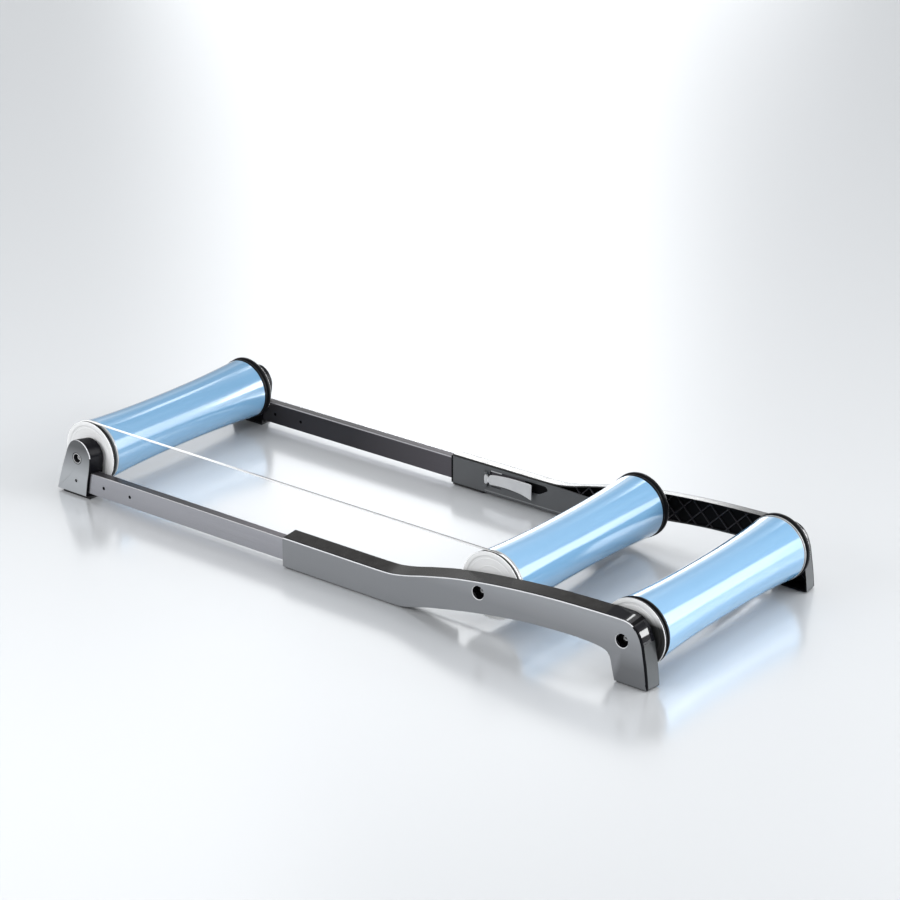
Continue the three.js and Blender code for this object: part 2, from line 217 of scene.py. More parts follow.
def graded(material, low, high, z0, z1, drop=None):
    """Multiplies a surface's colour by a factor that goes from low at height z0 to high at z1, in metres. drop = (x0, x1, d)
    shifts both heights up by d from x0 to x1."""
    nt = material.node_tree
    bsdf = nt.nodes.get("Principled BSDF")
    source = bsdf.inputs["Base Color"].links[0].from_socket
    tc = nt.nodes.new("ShaderNodeTexCoord")
    sep = nt.nodes.new("ShaderNodeSeparateXYZ")
    link(nt, tc.outputs["Object"], sep.inputs["Vector"])
    z = sep.outputs["Z"]
    if drop:
        less = nt.nodes.new("ShaderNodeMath")
        less.operation = "SUBTRACT"
        link(nt, z, less.inputs[0])
        link(nt, spread(nt, sep.outputs["X"], drop[0], drop[1], 0.0, drop[2]), less.inputs[1])
        z = less.outputs["Value"]
    factor = spread(nt, z, z0, z1, low, high)
    node = nt.nodes.new("ShaderNodeVectorMath")
    node.operation = "SCALE"
    link(nt, source, node.inputs[0])
    link(nt, factor, node.inputs["Scale"])
    link(nt, node.outputs["Vector"], bsdf.inputs["Base Color"])
    return material


def graded_x(material, low, high, x0, x1):
    """The same along the X axis."""
    nt = material.node_tree
    bsdf = nt.nodes.get("Principled BSDF")
    source = bsdf.inputs["Base Color"].links[0].from_socket
    tc = nt.nodes.new("ShaderNodeTexCoord")
    sep = nt.nodes.new("ShaderNodeSeparateXYZ")
    link(nt, tc.outputs["Object"], sep.inputs["Vector"])
    node = nt.nodes.new("ShaderNodeVectorMath")
    node.operation = "SCALE"
    link(nt, source, node.inputs[0])
    link(nt, spread(nt, sep.outputs["X"], x0, x1, low, high), node.inputs["Scale"])
    link(nt, node.outputs["Vector"], bsdf.inputs["Base Color"])
    return material


def blend_x(material, other, x0, x1):
    """Turns a surface's colour into another one from x0 to x1."""
    nt = material.node_tree
    bsdf = nt.nodes.get("Principled BSDF")
    source = bsdf.inputs["Base Color"].links[0].from_socket
    tc = nt.nodes.new("ShaderNodeTexCoord")
    sep = nt.nodes.new("ShaderNodeSeparateXYZ")
    link(nt, tc.outputs["Object"], sep.inputs["Vector"])
    link(nt, mix_color(nt, spread(nt, sep.outputs["X"], x0, x1, 0.0, 1.0), source, other), bsdf.inputs["Base Color"])
    return material


# painted light and shade: the rail's grey turns up to 1.42 times lighter towards its top, and down the leg it darkens
# to 0.57 near the floor
RAIL = graded(graded(surface("rail_lacquer", (0.194, 0.202, 0.215), 0.28, spec=0.62, mottle=0.012, mottle_scale=5, grain=400, bump=0.002, rough_var=0.006), 1.0, 1.42, 0.066, 0.104), 0.57, 1.0, -0.058, -0.028, (0.585, 0.62, 0.09))
# painted highlight: a light grey for the plates' rounded edges, standing in for the thin highlight along them
EDGE_PAINTED_HIGHLIGHT = surface("rail_edge_painted_highlight", (0.66, 0.67, 0.69), 0.22, spec=0.7, mottle=0.05, grain=1500, bump=0.04)
# painted shading: the leg's rear wall is 1.3 times lighter near the floor and darkens to half its colour higher up
RAIL_REAR = graded(surface("rail_rear", (0.034, 0.038, 0.041), 0.40, spec=0.28, mottle=0.03, mottle_scale=8, grain=1500, bump=0.03, rough_var=0.02, dust=0.01), 1.3, 0.5, 0.010, 0.085)
RAIL_TOP = surface("rail_top", (0.0115, 0.0105, 0.0100), 0.20, spec=0.55, mottle=0.12, grain=1500, bump=0.03, dust=0.003, scuff=0.02, scuff_color=(0.04, 0.04, 0.04))
GLOSS = surface("black_gloss", (0.005, 0.005, 0.007), 0.07, spec=0.5, mottle=0.15, grain=600, bump=0.02, rough_var=0.02, dust=0.004)
BODY = surface("black_satin", (0.0040, 0.0040, 0.0055), 0.34, spec=0.07, mottle=0.15, grain=900, bump=0.05, dust=0.003)
INNER = surface("black_moulded", (0.003, 0.003, 0.0035), 0.6, spec=0.06, mottle=0.2, grain=900, bump=0.2, dust=0.005)
# painted light: the ribs are six times lighter at the front end of the lattice, fading to their own dark grey by x =
# 0.34 m
RIB = graded_x(surface("rib_edges", (0.028, 0.027, 0.030), 0.40, spec=0.35, mottle=0.12, grain=900, bump=0.1), 6.0, 1.0, 0.20, 0.34)
GUIDE = surface("guide_plate", (0.074, 0.077, 0.081), 0.36, spec=0.5, mottle=0.05, mottle_scale=11, grain=1300, bump=0.08, scuff=0.05, scuff_color=(0.10, 0.10, 0.11), dust=0.015)
GUIDE_LINE = surface("guide_bead", (0.20, 0.205, 0.21), 0.36, spec=0.5, mottle=0.06, grain=1300, bump=0.08)
LEVER = surface("lever_plastic", (0.50, 0.505, 0.515), 0.34, mottle=0.04, mottle_scale=40, grain=1500, bump=0.08, dust=0.03)
BAR = surface("anodised_bar", (0.44, 0.44, 0.47), 0.30, metallic=0.9, mottle=0.05, mottle_scale=1.0, grain=1.0, bump=0.12, depth=0.00005, stretch=(5, 900, 900), scuff=0.06, scuff_color=(0.5, 0.5, 0.52), rough_var=0.04)
# painted highlight: near-white metal for the bar's rounded upper outer corner, standing in for the edge highlight
BAR_EDGE_PAINTED_HIGHLIGHT = surface("bar_edge_painted_highlight", (0.86, 0.86, 0.88), 0.2, metallic=0.9, mottle=0.05, mottle_scale=20, grain=1200, bump=0.05)
# painted shade: the bar's inner face and most of its top are painted dark, and up to 2.4 times lighter towards the rear
# end by the sleeve, as painted light
BAR_DARK = graded_x(surface("bar_shade_side", (0.030, 0.028, 0.032), 0.32, spec=0.22, mottle=0.03, mottle_scale=1.0, grain=1.0, bump=0.04, depth=0.00005, stretch=(4, 600, 600), rough_var=0.015), 0.75, 2.4, -0.36, -0.12)
# painted shading: the plate keeps its grey near the bottom and darkens to a fifth of it at the top
PLATE = graded(surface("bracket_plate", (0.345, 0.362, 0.380), 0.30, spec=0.6, mottle=0.015, mottle_scale=9, grain=1500, bump=0.012, rough_var=0.015), 1.02, 0.20, 0.045, 0.100)
# painted highlight: a light grey for screw head faces and one cap rim, standing in for small glints
LIP_PAINTED_HIGHLIGHT = surface("bright_lip_painted_highlight", (0.72, 0.725, 0.735), 0.25, spec=0.7, mottle=0.05, grain=1200, bump=0.04)
# painted shade: the blue darkens to 0.84 towards the front drum, where the light is weaker
DRUM = graded_x(turned("drum_blue", (0.144, 0.288, 0.447), 0.12, spec=0.5, coat=0.42, coat_rough=0.10, mottle=0.012, bump=0.02, scuff=0.015), 0.84, 1.0, -0.62, 0.33)
CAP = turned("cap_plastic", (0.83, 0.835, 0.84), 0.36, mottle=0.02, bump=0.04, scuff=0.02)
GROOVE = turned("groove_rubber", (0.006, 0.006, 0.007), 0.5, spec=0.12, mottle=0.15, bump=0.2)
SEAT_RING = turned("seat_ring", (0.27, 0.28, 0.285), 0.4, metallic=0.1, mottle=0.05, bump=0.08)
BUSH = turned("bush_metal", (0.50, 0.505, 0.51), 0.35, metallic=0.3, mottle=0.05, bump=0.1)
RUBBER = surface("foot_rubber", (0.016, 0.016, 0.017), 0.72, spec=0.3, mottle=0.25, mottle_scale=30, grain=700, bump=0.5, depth=0.0003, dust=0.08)
STEEL = surface("brushed_steel", (0.60, 0.60, 0.61), 0.27, metallic=1.0, mottle=0.08, mottle_scale=60, grain=1.0, bump=0.25, depth=0.00004, stretch=(900, 40, 900))
DARK_STEEL = surface("blackened_steel", (0.060, 0.060, 0.064), 0.25, metallic=0.8, mottle=0.15, mottle_scale=60, grain=900, bump=0.15)
BLACK = surface("black_plastic", (0.014, 0.014, 0.016), 0.45, spec=0.4, mottle=0.2, grain=900, bump=0.25, dust=0.03)
BELT = surface("belt_cord", (0.93, 0.93, 0.93), 0.36, mottle=0.03, mottle_scale=90, grain=2200, bump=0.10, dust=0.02)
# painted shade: the belt's dark top line, dark grey along the upper run and white towards the front drum
BELT_PAINTED_SHADE = blend_x(surface("belt_painted_shade", (0.93, 0.93, 0.93), 0.5, mottle=0.04, mottle_scale=90, grain=2200, bump=0.10), (0.10, 0.10, 0.105), -0.33, -0.20)

# --------------------------------------------------------------------------- geometry


def hermite(points, step):
    """Points along a smooth open curve through the given ones; each has any number of values, x and z first."""
    n = len(points)
    p = [tuple(map(float, q)) for q in points]
    t = [0.0]
    for a, b in zip(p, p[1:]):
        t.append(t[-1] + math.dist(a[:2], b[:2]))
    tang = []
    for i in range(n):
        if i in (0, n - 1):
            a, b = (0, 1) if i == 0 else (n - 2, n - 1)
            tang.append([(p[b][k] - p[a][k]) / (t[b] - t[a]) for k in range(len(p[0]))])
        else:
            h0, h1 = t[i] - t[i - 1], t[i + 1] - t[i]
            tang.append([
                ((p[i][k] - p[i - 1][k]) / h0 * h1 + (p[i + 1][k] - p[i][k]) / h1 * h0) / (h0 + h1)
                for k in range(len(p[0]))
            ])
    out = []
    for i in range(n - 1):
        h = t[i + 1] - t[i]
        count = max(1, min(10, round(h / step)))
        for j in range(count):
            u = j / count
            a, b = 2 * u**3 - 3 * u**2 + 1, u**3 - 2 * u**2 + u
            c, d = -2 * u**3 + 3 * u**2, u**3 - u**2
            out.append(tuple(
                a * p[i][k] + b * h * tang[i][k] + c * p[i + 1][k] + d * h * tang[i + 1][k]
                for k in range(len(p[0]))
            ))
    out.append(p[-1])
    return out


def corner_round(a, c, b, r, steps=4):
    """Points that round corner c, between a and b, starting r before it and ending r after it."""
    def along(p, q, d):
        length = math.dist(p[:2], q[:2])
        return [p[k] + (q[k] - p[k]) * d / length for k in range(len(p))]
    s, e = along(c, a, r), along(c, b, r)
    out = []
    for i in range(steps + 1):
        u = i / steps
        out.append(tuple((1 - u) ** 2 * s[k] + 2 * u * (1 - u) * c[k] + u * u * e[k] for k in range(len(c))))
    return out


def rounded(outline, radii):
    """A closed outline whose corners, given by index, are rounded."""
    out = []
    n = len(outline)
    for i, p in enumerate(outline):
        if radii.get(i):
            out += corner_round(outline[i - 1], p, outline[(i + 1) % n], radii[i])
        else:
            out.append(p)
    return out


def inset(outline, t):
    n = len(outline)
    area = sum(outline[i][0] * outline[(i + 1) % n][1] - outline[(i + 1) % n][0] * outline[i][1] for i in range(n))
    s = 1 if area > 0 else -1
    out = []
    for i in range(n):
        a, p, b = outline[i - 1], outline[i], outline[(i + 1) % n]
        d0, d1 = Vector((p[0] - a[0], p[1] - a[1])), Vector((b[0] - p[0], b[1] - p[1]))
        if d0.length < 1e-6 or d1.length < 1e-6:
            out.append(p)
            continue
        d0.normalize(), d1.normalize()
        n0, n1 = Vector((-d0.y * s, d0.x * s)), Vector((-d1.y * s, d1.x * s))
        m = n0 + n1
        m.normalize()
        k = (t[i] if isinstance(t, list) else t) / max(m.dot(n0), 0.45)
        out.append((p[0] + m.x * k, p[1] + m.y * k))
    return out


def rings_to_mesh(rings, caps=True, wrap=False):
    n = len(rings[0])
    verts = [p for r in rings for p in r]
    faces = []
    count = len(rings)
    for i in range(count if wrap else count - 1):
        a, b = i * n, ((i + 1) % count) * n
        for j in range(n):
            k = (j + 1) % n
            faces.append((a + j, a + k, b + k, b + j))
    if caps and not wrap:
        faces.append(tuple(range(n - 1, -1, -1)))
        faces.append(tuple((count - 1) * n + j for j in range(n)))
    return verts, faces


def plate_rings(outline0, outline1, d0, d1, side, edge0=0.0, edge1=0.0, steps=4):
    """Rings of a plate in the x-z plane between two depths from the rail's outer plane, with rounded edges."""
    y = lambda d: side * (HALF - d)
    mix = lambda u: [(a[0] + (b[0] - a[0]) * u, a[1] + (b[1] - a[1]) * u) for a, b in zip(outline0, outline1)]
    rings = []
    span = d1 - d0
    def ring(depth, t):
        o = mix((depth - d0) / span)
        o = inset(o, t) if t else o
        rings.append([(q[0], y(depth), q[1]) for q in o])
    if edge0:
        for i in range(steps):
            a = (i / steps) * math.pi / 2
            ring(d0 + edge0 * (1 - math.cos(a)), edge0 * (1 - math.sin(a)))
        ring(d0 + edge0, 0)
    else:
        ring(d0, 0)
    if edge1:
        ring(d1 - edge1, 0)
        for i in range(1, steps + 1):
            a = (i / steps) * math.pi / 2
            ring(d1 - edge1 * (1 - math.sin(a)), edge1 * (1 - math.cos(a)))
    else:
        ring(d1, 0)
    return rings


def to_mesh(name, verts, faces, mats):
    me = bpy.data.meshes.new(name)
    me.from_pydata([tuple(c * MM for c in v) for v in verts], [], faces)
    for m in mats:
        me.materials.append(m)
    bm = bmesh.new()
    bm.from_mesh(me)
    bmesh.ops.remove_doubles(bm, verts=bm.verts, dist=1e-7)
    bmesh.ops.recalc_face_normals(bm, faces=bm.faces)
    bm.to_mesh(me)
    bm.free()
    me.update()
    ob = bpy.data.objects.new(name, me)
    bpy.context.scene.collection.objects.link(ob)
    return ob


def bake_modifiers(ob):
    bpy.context.view_layer.update()
    dg = bpy.context.evaluated_depsgraph_get()
    me = bpy.data.meshes.new_from_object(ob.evaluated_get(dg))
    old = ob.data
    ob.modifiers.clear()
    ob.data = me
    bpy.data.meshes.remove(old)


def boolean(ob, cutters, operation="DIFFERENCE"):
    """ob minus, or plus, each (verts, faces) solid."""
    for verts, faces in cutters:
        c = to_mesh("cutter", verts, faces, [])
        m = ob.modifiers.new("cut", "BOOLEAN")
        m.operation = operation
        m.solver = "MANIFOLD"
        m.object = c
        bake_modifiers(ob)
        data = c.data
        bpy.data.objects.remove(c)
        bpy.data.meshes.remove(data)
    return ob


def finish(ob, body, replaces=(), paint=None, angle=34, weighted=True):
    me = ob.data
    if paint:
        for p in me.polygons:
            c = p.center
            p.material_index = paint((c.x / MM, c.y / MM, c.z / MM), p.normal)
    me.polygons.foreach_set("use_smooth", [True] * len(me.polygons))
    me.set_sharp_from_angle(angle=math.radians(angle))
    if weighted:
        w = ob.modifiers.new("normals", "WEIGHTED_NORMAL")
        w.keep_sharp = True
        w.weight = 80
        w.mode = "FACE_AREA"
    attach(ob, body)
    if replaces:
        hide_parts(*replaces)
    return ob


def box_solid(x, y, z):
    v = [(a, b, c) for a in x for b in y for c in z]
    f = [(0, 1, 3, 2), (4, 6, 7, 5), (0, 4, 5, 1), (2, 3, 7, 6), (0, 2, 6, 4), (1, 5, 7, 3)]
    return v, f


def round_box(x, y, z, r, seg=3):
    """A block with all its edges rounded: stacked rounded rectangles."""
    def rect(t, zz):
        pts = []
        rr = max(r - t, 0.02)
        for cx, cy, a0 in ((x[1] - r, y[1] - r, 0), (x[0] + r, y[1] - r, 90), (x[0] + r, y[0] + r, 180), (x[1] - r, y[0] + r, 270)):
            for i in range(seg + 1):
                a = math.radians(a0 + 90 * i / seg)
                pts.append((cx + rr * math.cos(a), cy + rr * math.sin(a), zz))
        return pts
    rings = []
    for i in range(seg + 1):
        a = (i / seg) * math.pi / 2
        rings.append(rect(r * (1 - math.sin(a)), z[0] + r * (1 - math.cos(a))))
    for i in range(seg + 1):
        a = (i / seg) * math.pi / 2
        rings.append(rect(r * (1 - math.cos(a)), z[1] - r * (1 - math.sin(a))))
    return rings_to_mesh(rings)


def lathe(profile, xc, n=96, side=1, zc=AXLE_Z, closed=True):
    """Revolves a [radius, y] profile about the Y axis at (xc, zc). side -1 mirrors it to -Y."""
    rings = []
    for r, y in profile:
        rings.append([
            (xc + r * math.cos(2 * math.pi * i / n), side * y, zc + r * math.sin(2 * math.pi * i / n)) for i in range(n)
        ])
    return rings_to_mesh(rings, caps=not closed, wrap=closed)


def arc(cx, cy, r, a0, a1, steps):
    return [(cx + r * math.cos(math.radians(a0 + (a1 - a0) * i / steps)), cy + r * math.sin(math.radians(a0 + (a1 - a0) * i / steps))) for i in range(steps + 1)]


def soften(profile, r, steps=3):
    """Rounds every corner of a closed [radius, y] profile by up to r."""
    out = []
    n = len(profile)
    for i, p in enumerate(profile):
        a, b = profile[i - 1], profile[(i + 1) % n]
        d = min(r, 0.45 * math.dist(a, p), 0.45 * math.dist(p, b))
        out += corner_round(a, p, b, d, steps)
    return out


def pin_y(x, z, r, d0, d1, side, n=32, r1=None):
    """A solid cylinder or cone along Y between two depths."""
    r1 = r if r1 is None else r1
    rings = []
    for d, rr in ((d0, r), (d1, r1)):
        rings.append([(x + rr * math.cos(2 * math.pi * i / n), side * (HALF - d), z + rr * math.sin(2 * math.pi * i / n)) for i in range(n)])
    return rings_to_mesh(rings)


def pin_z(x, y, z0, z1, radii, n=28):
    """A solid of revolution about a vertical axis: radii is a list of (z, r)."""
    rings = []
    for z, r in radii:
        rings.append([(x + r * math.cos(2 * math.pi * i / n), y + r * math.sin(2 * math.pi * i / n), z) for i in range(n)])
    return rings_to_mesh(rings)


def join_parts(*parts):
    verts, faces = [], []
    for v, f in parts:
        k = len(verts)
        verts += list(v)
        faces += [tuple(i + k for i in g) for g in f]
    return verts, faces


# ------------------------------------------------------------------------- side rails
RAIL_DEPTH = 31.5
TOP_FLARE = 6.2
LEG_FLARE = 3.5
RAIL_TOP_LINE = [
    (-110, 57.0, 0, 1), (0, 57.0, 0, 1), (85, 56.9, 0, 1), (109.5, 57.0, 0, 1), (138.4, 58.2, 0, 1), (160.3, 61.8, 0, 1),
    (210.7, 74.2, 0, 1), (276.7, 88.6, 0, 1), (331.3, 97.0, 0, 1), (380, 102.8, 0, 1),
    (427.6, 107.2, 0, 1), (484.7, 111.0, 0, 1), (541.3, 113.2, 0, 1), (585, 114.2, 0, 1),
    (612, 114.4, 0.1, 0.98), (629.5, 113.2, 0.4, 0.9), (641, 108.5, 0.7, 0.75),
    (651, 99.0, 0.9, 0.45), (658.0, 84.8, 1, 0.2), (664.3, 56.1, 1, 0), (669.3, 23.7, 1, 0),
    (671.5, 2.0, 1, 0),
]
RAIL_BOTTOM_LINE = [
    (-110, 1.8), (0, 1.8), (100, 1.8), (135, 1.8), (150, 1.9), (164, 3.4), (187, 9.0), (210.5, 15.6), (250.5, 24.2),
    (310.8, 35.9), (369.9, 45.2), (428.3, 51.8), (485.7, 55.5), (536, 56.6), (564.8, 55.2),
    (582.0, 52.7), (591.6, 48.6), (596.6, 41.9), (599.7, 29.1), (604, 11.4), (606.5, 2.0),
]
rail_top = hermite(RAIL_TOP_LINE[:1] + RAIL_TOP_LINE[1:], 6)
rail_bottom = hermite([(x, z, 0, 0) for x, z in RAIL_BOTTOM_LINE], 6)
rail_corner = rail_top + rail_bottom[::-1]
n_top = len(rail_top)
rail_outline = rounded(rail_corner, {0: 2.0, n_top - 1: 2.5, n_top: 1.6, len(rail_corner) - 1: 2.2})


def interpolate(line, x):
    for a, b in zip(line, line[1:]):
        if x <= b[0]:
            return a[1] + (b[1] - a[1]) * (x - a[0]) / (b[0] - a[0])
    return line[-1][1]


def rail_at(depth):
    """The rail's outline at a depth: the top wall rises and the rear wall grows towards the inner edge."""
    u = depth / RAIL_DEPTH
    return [(x + fx * LEG_FLARE * u, z + fz * TOP_FLARE * u) for x, z, fx, fz in rail_outline]


def edge_share(x, z):
    """How wide the outer plate's edge is rounded, as a share: full down the leg's rear edge, narrow elsewhere."""
    if x > 636 and z > 2.5:
        return min(0.42 + 1.38 * min(1, (x - 636) / 16), 0.42 + 1.38 * min(1, (z - 2.5) / 12))
    return 0.42


def rail_shell(side):
    y = lambda d: side * (HALF - d)
    rings = []
    share = [edge_share(p[0], p[1]) for p in rail_outline]

    def ring(depth, t):
        o = rail_at(depth)
        o = inset(o, [t * k for k in share]) if t else o
        rings.append([(x + (3.6 * depth / RAIL_DEPTH if x < -95 else 0), y(depth), z) for x, z in o])

    # the outer plate's rolled edge, a shadow line behind it, then the moulded walls
    e = 2.6
    for i in range(8):
        a = i / 7 * math.pi / 2
        ring(e * (1 - math.cos(a)), e * (1 - math.sin(a)))
    ring(2.75, 0.45)
    ring(3.7, 0.45)
    ring(4.0, 0)
    for i in range(4):
        a = i / 3 * math.pi / 2
        ring(RAIL_DEPTH - 0.6 * (1 - math.sin(a)), 0.6 * (1 - math.cos(a)))
    return rings_to_mesh(rings)


def rail_cavity(side):
    """The open inside: 3 mm inside the outline, out through the mouth and past the inner edge, with a small chamfer there."""
    y = lambda d: side * (HALF - d)
    rings = []
    for depth, t in ((3.0, 3.0), (31.0, 3.0), (33.5, 1.2)):
        u = depth / RAIL_DEPTH
        o = inset([(x + fx * LEG_FLARE * u, z + fz * TOP_FLARE * u) for x, z, fx, fz in rail_corner], t)
        rings.append([(x - (8 if x < -100 else 0), y(depth), z) for x, z in o])
    return rings_to_mesh(rings)


def rail_paint(side):
    """Outer plate grey with a painted highlight on its edge and a black line behind it; top wall dark, the corner over
    the leg gloss black, rear wall grey, inside black."""
    def inside(x, z, depth):
        u = depth / RAIL_DEPTH
        top = interpolate([(a[0], a[1]) for a in RAIL_TOP_LINE if a[0] < 641], min(x, 640)) + TOP_FLARE * u
        low = interpolate(RAIL_BOTTOM_LINE, x) if x < 590 else 0
        if x > 640:
            top = min(top, interpolate([(641, 108.5), (651, 99.0), (658, 84.8), (664.3, 56.1), (669.3, 23.7), (671.5, 2)], x - LEG_FLARE * u)) if x < 671.5 + LEG_FLARE * u else 0
        return low + 1.6 < z < top - 1.6 and -112 < x

    def pick(c, n):
        x, y, z = c
        depth = HALF - side * y
        out = n.y * side
        if depth < 0.02 and out > 0.99:
            return 0
        upper = n.z > 0.2 or n.x > 0.2
        leg = x > 641
        # painted highlight: the outer plate's rounded edge, except down the leg, takes the bright edge material
        if depth < 1.5:
            return (6 if leg and depth > 0.03 else 4) if upper else 0
        if depth < 2.7 and leg and upper:
            return 6
        if depth < 4.01 and upper and not inside(x, z, depth):
            return 2
        if depth > 2.9 and inside(x, z, depth):
            return 3
        if depth > 30.85 and abs(n.y) > 0.3:
            return 1
        if n.x > 0.3 and z < 79 and x > 640:
            return 5
        if n.z > 0.3 and x < 585:
            return 1
        if x > 580 and z > 60 and upper:
            return 2
        return 3 if n.z < -0.3 else 1
    return pick


RIB_Z = 81.8


def lattice(side):
    """Crossed ribs on the inside of the outer wall, behind the arch and down the leg."""
    parts = []
    top = lambda x: interpolate([(a[0], a[1]) for a in RAIL_TOP_LINE[:-6]], x)
    low = lambda x: interpolate(RAIL_BOTTOM_LINE, x)

    def ok(x, z):
        if x < 157 or x > 667 or min(math.hypot(x - c, z - AXLE_Z) for c in (MIDDLE_X, REAR_X)) < 14.6:
            return False
        if x <= 641:
            if z > top(x) - 1.6:
                return False
        else:
            lim = interpolate([(108.5, 641), (99.0, 651), (84.8, 658), (56.1, 664.3), (23.7, 669.3), (2, 671.5)][::-1], z) if z > 2 else 671
            if x > lim - 1.6:
                return False
        if x < 597:
            return z > low(x) + 1.6
        lim = interpolate([(2, 606.5), (11.4, 604), (29.1, 599.7), (41.9, 596.6), (48.6, 591.6)], z) if z < 48.6 else 0
        return z > 5 and x > lim + 1.6

    for k in range(0, 18):
        x0 = 21.4 + 37.6 * k
        for s in (1, -1):
            run = None
            u = -110.0
            while u <= 110.0:
                x, z = x0 + u, RIB_Z + s * u
                good = ok(x, z)
                if good and run is None:
                    run = u
                if (not good or u >= 109.9) and run is not None:
                    if u - run > 6:
                        parts.append(rib(x0, s, run, u, side))
                    run = None
                u += 0.8
    return join_parts(*parts)


def rib(x0, s, u0, u1, side):
    w, top_w = 1.2, 0.7
    nx, nz = -s / math.sqrt(2), 1 / math.sqrt(2)
    y = lambda d: side * (HALF - d)
    rings = []
    for u in (u0, u1):
        cx, cz = x0 + u, RIB_Z + s * u
        rings.append([
            (cx + nx * w, y(2.6), cz + nz * w), (cx - nx * w, y(2.6), cz - nz * w),
            (cx - nx * top_w, y(6.0), cz - nz * top_w), (cx + nx * top_w, y(6.0), cz + nz * top_w),
        ])
    return rings_to_mesh(rings)


def open_bottom(side):
    xs = [-34.0] + [p[0] for p in rail_bottom if -34 < p[0] < 574] + [574.0]
    low = [(x, interpolate([(p[0], p[1]) for p in rail_bottom], x) - 4) for x in xs]
    high = [(x, interpolate([(p[0], p[1]) for p in rail_bottom], x) + 4.9) for x in reversed(xs)]
    o = low + high
    return rings_to_mesh(plate_rings(o, o, 6.2, RAIL_DEPTH + 3, side))


def recess_cut(x, side, r, d0=0.0):
    """A recess with a chamfered rim."""
    rings = []
    for d, rr in ((d0 - 2, r + 1.1), (d0, r + 1.1), (d0 + 1.1, r), (20, r)):
        rings.append([
            (x + rr * math.cos(2 * math.pi * i / 56), side * (HALF - d), AXLE_Z + rr * math.sin(2 * math.pi * i / 56)) for i in range(56)
        ])
    return rings_to_mesh(rings)


def screw_head(x, z, side, d_head, body, name, node, r=5.0, shank=16.0, washer=8.6, n=40):
    """A round-headed socket screw on its washer, at the bottom of a recess."""
    y = lambda d: HALF - d
    d0 = d_head
    prof = [
        (0.02, y(d0 + 0.35)), (r * 0.55, y(d0)), (r - 0.9, y(d0 + 0.1)), (r - 0.3, y(d0 + 0.4)), (r, y(d0 + 1.1)),
        (r, y(18.8)), (washer, y(18.9)), (washer + 0.2, y(19.1)), (washer + 0.2, y(19.5)), (washer, y(19.65)),
        (2.4, y(19.7)), (2.4, y(15.8 + shank)), (0.02, y(15.8 + shank)),
    ] if washer else [
        (0.02, y(d0 + 0.35)), (r * 0.55, y(d0)), (r - 0.5, y(d0 + 0.3)), (r, y(d0 + 0.9)), (r, y(d0 + 2)),
        (r, y(d0 + shank)), (0.02, y(d0 + shank)),
    ]
    v, f = lathe(prof, x, n, side, zc=z, closed=True)
    ob = to_mesh(name, v, f, [LIP_PAINTED_HIGHLIGHT if washer else INNER, BLACK if washer else INNER, STEEL])
    hex_r = r * 0.62
    rings = []
    for d in (d0 - 1, d0 + 2.3):
        rings.append([(x + hex_r * math.cos(math.radians(60 * i + 12)), side * y(d), z + hex_r * math.sin(math.radians(60 * i + 12))) for i in range(6)])
    boolean(ob, [rings_to_mesh(rings)])

    # painted highlight: with a washer, the head's front face takes the bright lip material, so a small bright ring
    # shows inside the dark recess
    def paint(c, n):
        q = math.hypot(c[0] - x, c[2] - z)
        d = HALF - side * c[1]
        if r < 3:
            return 1
        return 1 if q > r + 0.1 or d > d0 + 1.2 or (q < hex_r + 0.05 and d > d0 + 0.5) else 0

    return finish(ob, body, [node] if node else (), paint)


for name, side in SIDES:
    v, f = rail_shell(side)
    shell = to_mesh(f"{name}_rail_shell", v, f, [RAIL, RAIL_TOP, GLOSS, INNER, EDGE_PAINTED_HIGHLIGHT, RAIL_REAR, BODY])
    ya, yb = sorted((side * (HALF - 30.1), side * (HALF - 34)))
    cuts = [
        rail_cavity(side),
        open_bottom(side),
        recess_cut(MIDDLE_X, side, 12.0),
        recess_cut(REAR_X, side, 12.0),
        box_solid((268, 585), (ya, yb), (60, 126)),
    ]
    boolean(shell, cuts)
    finish(shell, "frame", [f"{name}_rail"], rail_paint(side))

    v, f = lattice(side)
    ribs = to_mesh(f"{name}_rail_ribs", v, f, [RIB])
    finish(ribs, "frame", weighted=False)

    # axle bosses: a cup behind the outer wall, with the screw at its bottom
    y = lambda d: HALF - d
    for where, x in (("middle", MIDDLE_X), ("rear", REAR_X)):
        cup = [
            (12.0, y(2.6)), (12.0, y(19.4)), (11.4, y(20.0)), (2.7, y(20.0)), (2.7, y(24.1)), (5.35, y(24.1)),
            (5.35, y(31.0)), (5.7, y(31.4)), (9.2, y(31.4)), (10.4, y(31.0)), (10.9, y(29.0)), (14.2, y(23.0)), (15.5, y(21.5)), (15.5, y(2.6)),
        ]
        v, f = lathe(cup, x, 56, side)
        ob = to_mesh(f"{name}_{where}_boss", v, f, [GLOSS])
        finish(ob, "frame")
        screw_head(x, AXLE_Z, side, 13.0, "frame", f"{name}_{where}_screw", f"{name}_{where}_axle_screw")

# ------------------------------------------------------------- guide plates and levers
HINGE_X, HINGE_D = -25.5, 33.0


